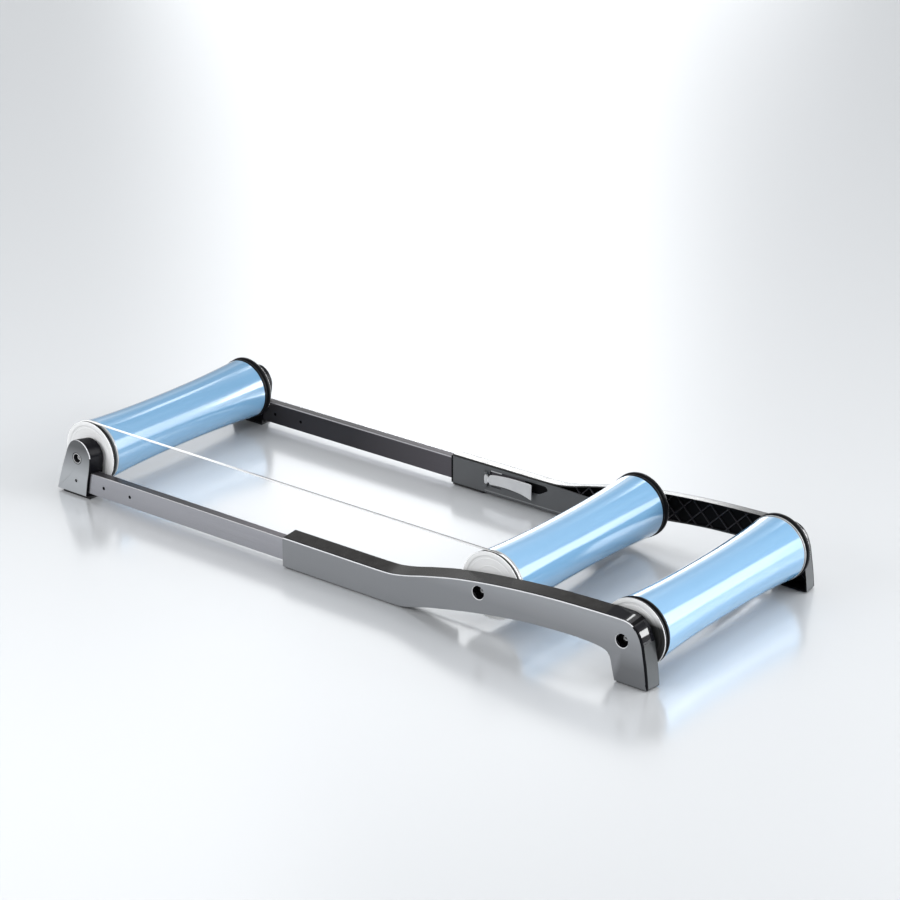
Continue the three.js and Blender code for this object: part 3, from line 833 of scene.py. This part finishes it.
def guide(name, side):
    y = lambda d: side * (HALF - d)
    outline = rounded([(-106, 5.1), (150, 5.1), (262, 22), (262, 55), (140, 59), (-106, 59)], {0: 1.5, 3: 2, 2: 2, 5: 1.5, 1: 30, 4: 30})
    v, f = rings_to_mesh(plate_rings(outline, outline, 28.3, 31.3, side, 0.3, 0.6, 3))
    ob = to_mesh(f"{name}_guide", v, f, [GUIDE, INNER])
    window = rounded([(-31.5, 23.4), (70, 23.4), (73, 31), (96, 33), (117, 45), (112, 52.5), (-18, 52.5), (-18, 43.6), (-31.5, 43.6)], {0: 1.5, 1: 2, 3: 6, 4: 4, 5: 4, 6: 2, 8: 1.5})
    slot_o = rounded([(-15, 19.4), (8, 19.4), (8, 21.6), (-15, 21.6)], {0: 1, 1: 1, 2: 1, 3: 1})
    boolean(ob, [rings_to_mesh(plate_rings(window, window, 26, 33, side)), rings_to_mesh(plate_rings(slot_o, slot_o, 26, 33, side))])
    finish(ob, "frame", [f"{name}_guide_plate"], angle=30)
    # bead along the lower edge
    rings = []
    for x, z in [(-30, 9.6), (30, 9.6), (90, 9.6), (140, 9.8), (150, 10.4), (170, 13.1), (200, 17.7), (230, 22.3), (259, 26.7)]:
        rings.append([(x, y(31.1), z - 0.9), (x, y(31.9), z - 0.55), (x, y(31.9), z + 0.55), (x, y(31.1), z + 0.9)])
    v, f = rings_to_mesh(rings)
    b = to_mesh(f"{name}_guide_bead", v, f, [GUIDE_LINE])
    finish(b, "frame", angle=40)
    ya, yb = sorted((y(28.35), y(31.45)))
    v, f = round_box((-109.8, -106.2), (ya, yb), (4.9, 58.6), 0.5, 3)
    collar = to_mesh(f"{name}_mouth_collar", v, f, [INNER])
    finish(collar, "frame")
    # painted shade: a thin black sheet behind the window's right part
    ya, yb = sorted((y(28.05), y(28.7)))
    v, f = round_box((62, 119), (ya, yb), (29, 54), 0.25, 2)
    pocket = to_mesh(f"{name}_pocket_painted_shade", v, f, [INNER])
    finish(pocket, "frame")
    # hinge lugs
    for tag, z0, z1 in (("low", 18.5, 23.2), ("high", 43.8, 48.5)):
        ya, yb = sorted((y(28.6), y(37.0)))
        v, f = round_box((-31, -21.6), (ya, yb), (z0, z1), 1.4, 4)
        lug = to_mesh(f"{name}_lug_{tag}", v, f, [GUIDE])
        boolean(lug, [pin_z(HINGE_X, y(HINGE_D), 10, 60, [(z0 - 2, 1.7), (z1 + 2, 1.7)], 20)])
        finish(lug, "frame")
    # the black pocket floor above is painted shade: a backing behind the window, so that it reads as a deep dark pocket
    # only where the bar isn't. Below, the lever's spring clip.
    ya, yb = sorted((y(28.9), y(30.6)))
    v, f = round_box((-17, 9), (ya, yb), (49.6, 51.7), 0.7, 3)
    clip = to_mesh(f"{name}_lever_spring", v, f, [LEVER])
    finish(clip, "frame")


def lever(name, side):
    y = lambda d: side * (HALF - d)
    stations = hermite([
        (-25.5, 27.4, 39.8, 34.4), (-22.4, 25.6, 41.8, 34.5), (-15, 25.2, 44.2, 34.7), (-8, 25.8, 45.8, 34.9), (12, 27.2, 48.4, 35.4),
        (36, 27.3, 50.3, 36.2), (60, 25.8, 51.2, 37.6), (72, 23.9, 51.7, 38.8), (79, 22.4, 52.0, 39.4), (85.2, 21.4, 52.0, 40.4),
    ], 3.2)
    rings = []
    for x, z0, z1, d in stations:
        pinch = math.exp(-(((x + 18.6) / 1.9) ** 2))
        z0, z1 = z0 + 4.8 * pinch, z1 - 4.8 * pinch
        t = 1.4
        if x > 83.5:
            t = 1.4 - 0.5 * (x - 83.5) / 1.7
        ring = []
        r = 1.1
        corners = (
            (d + t, z1, 0), (d - t, z1, 90), (d - t, z0, 180), (d + t, z0, 270),
        )
        for cd, cz, a0 in corners:
            sd, sz = (-1 if cd > d else 1), (-1 if cz > (z0 + z1) / 2 else 1)
            for i in range(4):
                a = math.radians(a0 + 90 * i / 3)
                ring.append((x, y(cd + sd * r + r * math.cos(a)), cz + sz * r + r * math.sin(a)))
        rings.append(ring)
    v, f = rings_to_mesh(rings)
    blade = to_mesh(f"{name}_lever_blade", v, f, [LEVER])
    knuckle = [(23.9, 2.1), (24.3, 2.7), (25.4, 3.3), (27.3, 3.8), (27.7, 3.4), (28.7, 3.4), (29.1, 3.9), (33.5, 4.0), (38.3, 3.9), (38.7, 3.4), (39.7, 3.4), (40.1, 3.8), (41.6, 3.3), (42.7, 2.7), (43.1, 2.1)]
    boolean(blade, [pin_z(HINGE_X, y(HINGE_D), 0, 0, knuckle, 36)], "UNION")
    cam = [(0, -5.2), (2.6, -5.2), (4, 0), (0, 2), (-3, 0)]
    rings = [[(HINGE_X + a, y(HINGE_D + b), z) for a, b in cam] for z in (28, 39)]
    boolean(blade, [rings_to_mesh(rings)], "UNION")
    boolean(blade, [pin_z(HINGE_X, y(HINGE_D), 0, 0, [(15, 1.75), (55, 1.75)], 24)])
    finish(blade, f"{name}_release_lever", [f"{name}_lever"], angle=38)
    pin = [(20.3, 1.1), (20.6, 1.5), (47.9, 1.5), (48.2, 1.1)]
    v, f = pin_z(HINGE_X, y(HINGE_D), 0, 0, pin, 24)
    p = to_mesh(f"{name}_hinge_pin", v, f, [STEEL])
    finish(p, "frame", [f"{name}_lever_pin"])


for name, side in SIDES:
    guide(name, side)
    lever(name, side)

# -------------------------------------------------------------------------------- feet


def foot(name, node, body, x, d, z, side):
    ya, yb = sorted((side * (HALF - d[0]), side * (HALF - d[1])))
    v, f = round_box(x, (ya, yb), z, min(0.6, (z[1] - z[0]) / 2.2), 3)
    ob = to_mesh(name, v, f, [RUBBER])
    grooves = []
    count = 5
    for i in range(count):
        g = x[0] + (x[1] - x[0]) * (i + 1) / (count + 1)
        grooves.append(box_solid((g - 1.1, g + 1.1), (ya - 1, yb + 1), (-1, z[0] + 0.45)))
    boolean(ob, grooves)
    finish(ob, body, [node])


for name, side in SIDES:
    foot(f"{name}_sleeve_pad", f"{name}_sleeve_foot", "frame", (-106, -36), (3, 28.5), (0, 1.75), side)
    foot(f"{name}_rear_pad", f"{name}_rear_foot", "frame", (609.5, 669), (3, 29), (0, 1.95), side)
    foot(f"{name}_front_pad", f"{name}_front_foot", "front_carriage", (-662, -592), (4, 29), (0, 4.5), side)

# ------------------------------------------------------------------------ bars, brackets
BAR_D, BAR_Z, BAR_X = (6.5, 27.5), (10.5, 52.5), (-638.0, 110.0)
HOLE_X, HOLE_Z = (-624.0, -557.0, -490.0), 31.0


def bar(name, side):
    y = lambda d: side * (HALF - d)

    def section(t, radii):
        d0, d1, z0, z1 = BAR_D[0] + t, BAR_D[1] - t, BAR_Z[0] + t, BAR_Z[1] - t
        pts = []
        for (cd, cz, a0), r in zip(((d1, z1, 0), (d0, z1, 90), (d0, z0, 180), (d1, z0, 270)), radii):
            sd, sz = (-1 if cd == d1 else 1), (-1 if cz == z1 else 1)
            for i in range(6):
                a = math.radians(a0 + 90 * i / 5)
                pts.append((y(cd + sd * r + r * math.cos(a)), cz + sz * r + r * math.sin(a)))
        return pts

    outer, inner = section(0, (4.2, 1.3, 1.3, 2.0)), section(2.0, (2.2, 0.6, 0.6, 0.6))
    rings = []
    for o, xs in ((outer, [BAR_X[0] + 748 * i / 12 for i in range(13)]), (inner, [BAR_X[1] - 748 * i / 12 for i in range(13)])):
        for x in xs:
            rings.append([(x, a, b) for a, b in o])
    v, f = rings_to_mesh(rings, wrap=True)
    ob = to_mesh(f"{name}_bar_tube", v, f, [BAR, INNER, BAR_DARK, BAR_EDGE_PAINTED_HIGHLIGHT])
    cuts = []
    for x in HOLE_X:
        cuts.append(pin_y(x, HOLE_Z, 2.7, 4, 30, side, 28))
        cuts.append(pin_y(x, HOLE_Z, 3.9, 5.9, 7.3, side, 28, 2.5))
        cuts.append(pin_y(x, HOLE_Z, 2.5, 26.7, 28.1, side, 28, 3.9))
    boolean(ob, cuts)

    def paint(c, n):
        x, yy, z = c
        d = HALF - side * yy
        # painted shade: the tube's inside and the walls of its holes are painted black
        if 8.2 < d < 25.8 and 12.2 < z < 50.8:
            return 1
        for hx in HOLE_X:
            if math.hypot(x - hx, z - HOLE_Z) < 3.92 and abs(n.y) < 0.9:
                return 1
        out = n.y * side
        # painted highlight: the rounded upper outer corner takes the bright edge material
        if n.z > 0.2 and 0.15 < out < 0.98:
            return 3
        # painted shade: the inner face, and the top short of its inner corner, take the dark shade material
        if out < -0.55:
            return 2
        if n.z > 0.8 and d < 22.5:
            return 2
        return 0

    finish(ob, "front_carriage", [f"{name}_bar"], paint)


B_OUT = [
    (-675, 4.6), (-599.5, 4.6), (-593.2, 39.4), (-589.5, 54.5), (-586.2, 75), (-585.7, 88.2),
    (-590.1, 98), (-597, 107), (-606.5, 112.8), (-617, 114.8), (-626.5, 112.6),
    (-634.5, 106.6), (-641, 97.5), (-650.6, 75), (-664.7, 37.8),
]
B_IN = [
    (-672, 4.6), (-590, 4.6), (-586, 39.4), (-583, 54.5), (-580, 75), (-580, 87),
    (-584, 96.5), (-590.5, 104.5), (-600, 110), (-610, 111.6), (-620, 109.5), (-629, 103.5),
    (-636.5, 94.5), (-647, 73), (-662, 37),
]


def bracket(name, side):
    y = lambda d: HALF - d

    def fine(o):
        both = [(a[0], a[1]) for a in o]
        return both

    # both outlines are resampled together, so that their points stay matched
    pairs = [(a[0], a[1], b[0], b[1]) for a, b in zip(B_OUT, B_IN)]
    chain = hermite(pairs[1:] + pairs[:1], 4.5)
    closed = chain  # ends at the bottom-left corner, starts at the bottom-right one
    closed = rounded(closed, {0: 2.2, len(closed) - 1: 2.2})
    outer = [(p[0], p[1]) for p in closed]
    inner = [(p[2], p[3]) for p in closed]
    v, f = rings_to_mesh(plate_rings(outer, inner, 1.5, 31.5, side, 1.5, 1.2, 4))
    ob = to_mesh(f"{name}_bracket_shell", v, f, [PLATE, BODY, INNER, EDGE_PAINTED_HIGHLIGHT])
    d_out, d_in = side * y(6.15), side * y(27.85)
    channel = box_solid((-638.35, -560), (min(d_out, d_in), max(d_out, d_in)), (10.15, 52.85))
    core_o, core_i = inset(outer, 3.6), inset(inner, 3.6)
    keep = [k for k in range(len(outer)) if min(core_o[k][1], core_i[k][1]) > 57.5]
    hollow_o, hollow_i = ([(c[keep[0]][0], 56.5)] + [c[k] for k in keep] + [(c[keep[-1]][0], 56.5)] for c in (core_o, core_i))
    cuts = [channel, rings_to_mesh(plate_rings(hollow_o, hollow_i, 5, 33.5, side))]
    boolean(ob, cuts)
    boolean(ob, [pin_y(FRONT_X, AXLE_Z, 15.5, 3.4, 31.2, side, 48)], "UNION")
    boolean(ob, [
        recess_cut(FRONT_X, side, 10.5, 1.5),
        pin_y(FRONT_X, AXLE_Z, 2.75, 19, 25, side, 24),
        pin_y(FRONT_X, AXLE_Z, 5.35, 24, 40, side, 32),
        pin_y(HOLE_X[0], HOLE_Z, 2.75, 0, 7, side, 28),
        pin_y(HOLE_X[0], HOLE_Z, 3.6, 0.9, 2.4, side, 28, 2.4),
    ])

    def paint(c, n):
        x, yy, z = c
        d = HALF - side * yy
        if d < 1.6 and n.y * side > 0.9:
            return 0
        # painted highlight: the plate's rounded edge at its left and its top takes the bright edge material
        if d <= 2.9 and math.hypot(x - FRONT_X, z - AXLE_Z) > 12 and math.hypot(x - HOLE_X[0], z - HOLE_Z) > 4.2:
            return 3 if n.y * side > 0.2 and (x < -600 or z > 82) else 1
        if d > 3.05 and d < 31:
            inside_bar = 10.2 < z < 52.8 and 6.2 < d < 27.8
            if inside_bar or math.hypot(x - FRONT_X, z - AXLE_Z) < 15.6:
                return 2
        return 1 if d < 31 else 2

    finish(ob, "front_carriage", [f"{name}_bracket"], paint)
    # bright bush with a rolled lip; past the lip its inside is painted black, as painted shade in the recess
    prof = soften([(8.4, y(1.2)), (10.25, y(1.2)), (10.25, y(17)), (8.4, y(17))], 0.6)
    v, f = lathe(prof, FRONT_X, 56, side)
    b = to_mesh(f"{name}_bush", v, f, [BUSH, BLACK])
    finish(b, "front_carriage", [f"{name}_front_bush"], lambda c, n: 1 if HALF - abs(c[1]) > 1.6 else 0)
    screw_head(FRONT_X, AXLE_Z, side, 7.5, "front_carriage", f"{name}_front_screw", f"{name}_front_axle_screw", washer=7.9)
    screw_head(HOLE_X[0], HOLE_Z, side, 3.2, "front_carriage", f"{name}_bracket_bolt", f"{name}_bracket_screw", r=2.4, shank=9.8, washer=0, n=24)


for name, side in SIDES:
    bar(name, side)
    bracket(name, side)

# ----------------------------------------------------------------------------- rollers
DRUM_HALF, END_R, WAIST_R = 205.5, 59.0, 52.6

# the cap behind the left rear leg gets a painted shade: its colour darkens below a height measured from the left rail,
# so the painted shade stays with the leg when the cap turns
CAP_SHADED = turned("cap_plastic_in_shade", (0.83, 0.835, 0.84), 0.36, mottle=0.02, bump=0.04, scuff=0.02)
nt = CAP_SHADED.node_tree
bsdf = nt.nodes.get("Principled BSDF")
tc = nt.nodes.new("ShaderNodeTexCoord")
tc.object = bpy.data.objects["left_rail_shell"]
sep = nt.nodes.new("ShaderNodeSeparateXYZ")
link(nt, tc.outputs["Object"], sep.inputs["Vector"])
shade = nt.nodes.new("ShaderNodeVectorMath")
shade.operation = "SCALE"
link(nt, bsdf.inputs["Base Color"].links[0].from_socket, shade.inputs[0])
link(nt, spread(nt, sep.outputs["Z"], 0.099, 0.119, 0.03, 1.0), shade.inputs["Scale"])
link(nt, shade.outputs["Vector"], bsdf.inputs["Base Color"])


def drum_r(yy):
    return WAIST_R + (END_R - WAIST_R) * (abs(yy) / DRUM_HALF) ** 2.2


for where, x in WHERE:
    ys = [-DRUM_HALF + 2.0 + (2 * DRUM_HALF - 4.0) * i / 56 for i in range(57)]
    outer = [(drum_r(v), v) for v in ys]
    prof = (
        [(END_R - 2.6, -DRUM_HALF), (END_R - 0.55, -DRUM_HALF), (END_R - 0.15, -DRUM_HALF + 0.15)]
        + [(drum_r(DRUM_HALF - 0.5), 0.5 - DRUM_HALF)] + outer + [(drum_r(DRUM_HALF - 0.5), DRUM_HALF - 0.5)]
        + [(END_R - 0.15, DRUM_HALF - 0.15), (END_R - 0.55, DRUM_HALF), (END_R - 2.6, DRUM_HALF)]
        + [(drum_r(v) - 3.0, v) for v in reversed(ys[::4])]
    )
    v, f = lathe(prof, x, 144)
    ob = to_mesh(f"{where}_drum_tube", v, f, [DRUM, SEAT_RING, GROOVE])
    # painted shade: the drum's end strips are seat-ring grey at the left ends of the front and middle drums and the
    # right end of the rear drum, and painted black like the groove at the other ends
    finish(ob, f"{where}_roller", [f"{where}_drum"], lambda c, n, rear=(where == "rear"): 0 if abs(c[1]) < 203.6 else 1 if (c[1] > 0) == rear else 2, angle=40, weighted=False)

    for name, side in SIDES:
        # dished cap: hub, cone, ridged rim, belt groove, seat ring against the drum
        face = [
            (13.3, 217.6), (13.6, 218.4), (14.0, 218.6), (18.2, 218.6), (18.9, 218.4), (20.0, 217.3), (20.8, 217.2),
            (34.0, 217.65), (34.3, 218.0), (35.1, 218.0), (35.4, 217.7),
            (47.2, 218.3), (47.5, 218.7), (48.3, 218.7), (48.6, 218.4), (51.6, 218.7), (52.4, 218.9), (54.0, 219.75),
            (54.8, 220.0), (59.9, 220.0), (60.7, 219.75), (61.0, 219.1),
            (61.0, 217.6), (60.85, 217.3), (60.85, 215.6), (60.7, 214.95), (60.2, 214.7),
        ]
        groove = [(57.4, 213.5), (56.8, 212.6), (56.8, 210.4), (57.2, 209.6), (59.2, 208.75)]
        seat = [(59.7, 208.5), (60.0, 208.1), (60.0, 206.4), (59.8, 206.0), (59.3, 205.85), (54.6, 205.85), (54.1, 204.6), (54.0, 196.4), (53.6, 196.0), (51.6, 196.0), (47.2, 210.6), (24, 210.8), (18.5, 208.9), (13.3, 208.8)]
        prof = face + groove + seat
        v, f = lathe(prof, x, 120, side)
        ob = to_mesh(f"{where}_{name}_cap_disc", v, f, [CAP_SHADED if (where, name) == ("rear", "left") else CAP, GROOVE, SEAT_RING, LIP_PAINTED_HIGHLIGHT])
        xc = x

        def paint(c, n, xc=xc, side=side):
            r = math.hypot(c[0] - xc, c[2] - AXLE_Z)
            ay = abs(c[1])
            if r > 56 and 209.9 < ay < 219.15:
                return 1
            # painted highlight: on the rear left cap only, the rim's chamfer is painted bright as a thin light line
            if r > 59.9 and ay > 219.0 and side < 0 and xc == REAR_X:
                return 3
            # painted shade: the seat ring is grey beside the left ends of the front and middle drums and the right end
            # of the rear drum, and painted black at the other ends
            if r > 53.5 and ay <= 209.9:
                return 2 if (side > 0) == (xc == REAR_X) else 1
            return 0

        finish(ob, f"{where}_roller", [f"{where}_{name}_cap"], paint, angle=32)

        # bearing: outer race, dark shield, inner race
        race = [(5.35, 209.0), (7.2, 209.0), (7.5, 209.5), (10.6, 209.5), (10.9, 209.0), (13.0, 209.0), (13.0, 217.0), (10.9, 217.0), (10.6, 216.5), (7.5, 216.5), (7.2, 217.0), (5.35, 217.0)]
        v, f = lathe(race, x, 56, side)
        ob = to_mesh(f"{where}_{name}_bearing_race", v, f, [STEEL, BLACK])

        def shield(c, n, xc=xc):
            r = math.hypot(c[0] - xc, c[2] - AXLE_Z)
            return 1 if 7.4 < r < 10.7 else 0

        finish(ob, f"{where}_roller", [f"{where}_{name}_bearing"], shield)

# hidden nodes that keep their CAD shape get a finish of their own
for where, x in WHERE:
    for node, m in ((f"{where}_axle", STEEL), (f"left_{where}_spacer", BLACK), (f"right_{where}_spacer", BLACK)):
        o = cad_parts[node]
        o.data.materials.clear()
        o.data.materials.append(m)
for name, side in SIDES:
    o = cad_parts[f"{name}_bar_glide"]
    o.data.materials.clear()
    o.data.materials.append(BLACK)

# -------------------------------------------------------------------------- drive belt
BELT_Y, BELT_R, PITCH = -211.5, 1.8, 59.5
path = []
for i in range(49):
    a = math.pi / 2 - i / 48 * math.pi
    path.append((MIDDLE_X + PITCH * math.cos(a), AXLE_Z + PITCH * math.sin(a), a, BELT_R))
for i in range(1, 64):
    xx = MIDDLE_X + (FRONT_X - MIDDLE_X) * i / 64
    path.append((xx, AXLE_Z - PITCH, -math.pi / 2, BELT_R))
for i in range(49):
    a = -math.pi / 2 - i / 48 * math.pi
    path.append((FRONT_X + PITCH * math.cos(a), AXLE_Z + PITCH * math.sin(a), a, BELT_R))
for i in range(1, 64):
    path.append((FRONT_X + (MIDDLE_X - FRONT_X) * i / 64, AXLE_Z + PITCH, math.pi / 2, BELT_R))
rings = []
for x, z, a, r in path:
    rings.append([
        (x + r * math.cos(b) * math.cos(a), BELT_Y + r * math.sin(b), z + r * math.cos(b) * math.sin(a))
        for b in (2 * math.pi * s / 14 for s in range(14))
    ])
v, f = rings_to_mesh(rings, wrap=True)
belt = to_mesh("belt_loop", v, f, [BELT, BELT_PAINTED_SHADE])
for q in belt.data.polygons:
    # painted shade: along the upper run the cord's top side is painted dark grey, turning white towards the front drum
    turn = math.degrees(math.asin(max(-1, min(1, (q.center.y / MM - BELT_Y) / BELT_R))))
    if -56 < turn < 42 and q.center.z / MM > AXLE_Z + PITCH:
        q.material_index = 1
belt.data.polygons.foreach_set("use_smooth", [True] * len(belt.data.polygons))
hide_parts("drive_belt")
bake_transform(belt)

# ------------------------------------------------------------------------ floor, lights
floor = bpy.data.objects.new("floor", bpy.data.meshes.new("floor"))
floor.data.from_pydata([(-40, -40, 0), (40, -40, 0), (40, 40, 0), (-40, 40, 0)], [], [(0, 1, 2, 3)])
bpy.context.scene.collection.objects.link(floor)
floor_mat, nt, bsdf = new_material("floor")
bsdf.inputs["Base Color"].default_value = (0.573, 0.587, 0.606, 1)
bsdf.inputs["Roughness"].default_value = 0.7
bsdf.inputs["Specular IOR Level"].default_value = 0.0
sheen = nt.nodes.new("ShaderNodeBsdfGlossy")
sheen.inputs["Color"].default_value = (0.965, 0.98, 1.0, 1)
sheen.inputs["Roughness"].default_value = 0.18
both = nt.nodes.new("ShaderNodeMixShader")
both.inputs["Fac"].default_value = 0.43
link(nt, bsdf.outputs["BSDF"], both.inputs[1])
link(nt, sheen.outputs["BSDF"], both.inputs[2])
link(nt, both.outputs["Shader"], nt.nodes.get("Material Output").inputs["Surface"])
floor.data.materials.append(floor_mat)

world = bpy.data.worlds.new("studio")
bpy.context.scene.world = world
world.use_nodes = True
wnt = world.node_tree
bg = wnt.nodes.get("Background")
wtc = wnt.nodes.new("ShaderNodeTexCoord")
sep = wnt.nodes.new("ShaderNodeSeparateXYZ")
link(wnt, wtc.outputs["Generated"], sep.inputs["Vector"])


def calc(op, a, b):
    node = wnt.nodes.new("ShaderNodeMath")
    node.operation = op
    for value, socket in ((a, node.inputs[0]), (b, node.inputs[1])):
        if hasattr(value, "links"):
            link(wnt, value, socket)
        else:
            socket.default_value = value
    return node.outputs["Value"]


def smooth(value, lo, hi, out_lo, out_hi):
    node = wnt.nodes.new("ShaderNodeMapRange")
    node.interpolation_type = "SMOOTHSTEP"
    for key, v in (("From Min", lo), ("From Max", hi), ("To Min", out_lo), ("To Max", out_hi)):
        node.inputs[key].default_value = v
    link(wnt, value, node.inputs["Value"])
    return node.outputs["Result"]


azimuth = calc("ARCTAN2", sep.outputs["Y"], sep.outputs["X"])
height = sep.outputs["Z"]


def backdrop(stops):
    node = wnt.nodes.new("ShaderNodeValToRGB")
    e = node.color_ramp.elements
    while len(e) < len(stops):
        e.new(0.5)
    for i, (p, c) in enumerate(stops):
        e[i].position = p
        e[i].color = (c, c, c, 1)
    link(wnt, height, node.inputs["Fac"])
    return node.outputs["Color"]


def panel(radiance, a0, a1, a_soft, z0, z1, z_soft):
    """A soft-edged light panel far away, between two azimuths in degrees and two heights (sines of elevation)."""
    r = math.radians
    s0, s1 = a_soft if isinstance(a_soft, tuple) else (a_soft, a_soft)
    u = calc("MULTIPLY", smooth(azimuth, r(a0 - s0), r(a0), 0, 1), smooth(azimuth, r(a1), r(a1 + s1), 1, 0))
    v = calc("MULTIPLY", smooth(height, z0 - z_soft, z0, 0, 1), smooth(height, z1, z1 + z_soft, 1, 0))
    return calc("MULTIPLY", calc("MULTIPLY", u, v), radiance)


back = backdrop([(0.0, 0.50), (0.34, 0.52), (0.46, 0.79), (0.53, 0.66), (0.60, 0.30), (0.74, 0.30), (0.80, 1.2), (1.0, 1.3)])
near = backdrop([(0.0, 0.45), (0.45, 0.50), (0.60, 0.55), (0.80, 1.1), (1.0, 1.3)])
total = calc("ADD", calc("MULTIPLY", smooth(sep.outputs["Y"], -0.35, 0.25, 0, 1), back), calc("MULTIPLY", smooth(sep.outputs["Y"], -0.35, 0.25, 1, 0), near))
for lit in (
    panel(4.6, 39, 76, 3.0, -0.2, 0.36, 0.04),
    panel(1.8, 49, 76, 2.5, -0.2, 0.36, 0.04),
    panel(0.5, 63, 112, 4.0, 0.44, 0.66, 0.04),
    panel(16.0, 18, 40, 2.0, 0.17, 0.46, 0.02),
    panel(1.4, 127, 129, (5.5, 7.0), 0.20, 0.36, 0.10),
    panel(4.2, 122.5, 133, (3.0, 3.0), -0.02, 0.15, 0.06),
    panel(0.35, 134, 150, 4.0, 0.44, 0.58, 0.05),
    panel(6.0, 99, 109, 2.0, 0.70, 0.74, 0.015),
    panel(12.0, 96, 122, 3.0, 0.80, 0.83, 0.015),
):
    total = calc("ADD", total, lit)
link(wnt, total, bg.inputs["Strength"])
bg.inputs["Color"].default_value = (0.985, 0.995, 1.0, 1)


def softbox(name, centre, size, radiance, look, color=(1, 1, 1)):
    """An area light that lights surfaces but isn't seen in them."""
    data = bpy.data.lights.new(name, "AREA")
    data.shape = "RECTANGLE"
    data.size, data.size_y = size
    data.energy = radiance * math.pi * size[0] * size[1]
    data.color = color
    o = bpy.data.objects.new(name, data)
    o.location = centre
    d = Vector(look) - Vector(centre)
    o.rotation_euler = d.to_track_quat("-Z", "Y").to_euler()
    o.visible_camera = False
    o.visible_glossy = False
    bpy.context.scene.collection.objects.link(o)
    return o


softbox("overhead", (1.3, 0.9, 2.4), (1.6, 1.0), 3.7, (0.2, 0, 0))
softbox("near_fill", (-1.5, -3.0, 1.9), (2.4, 1.5), 6.0, (0.1, 0, 0.08))
softbox("end_fill", (3.2, 0.3, 1.2), (1.6, 1.0), 4.4, (0.3, 0, 0.05))
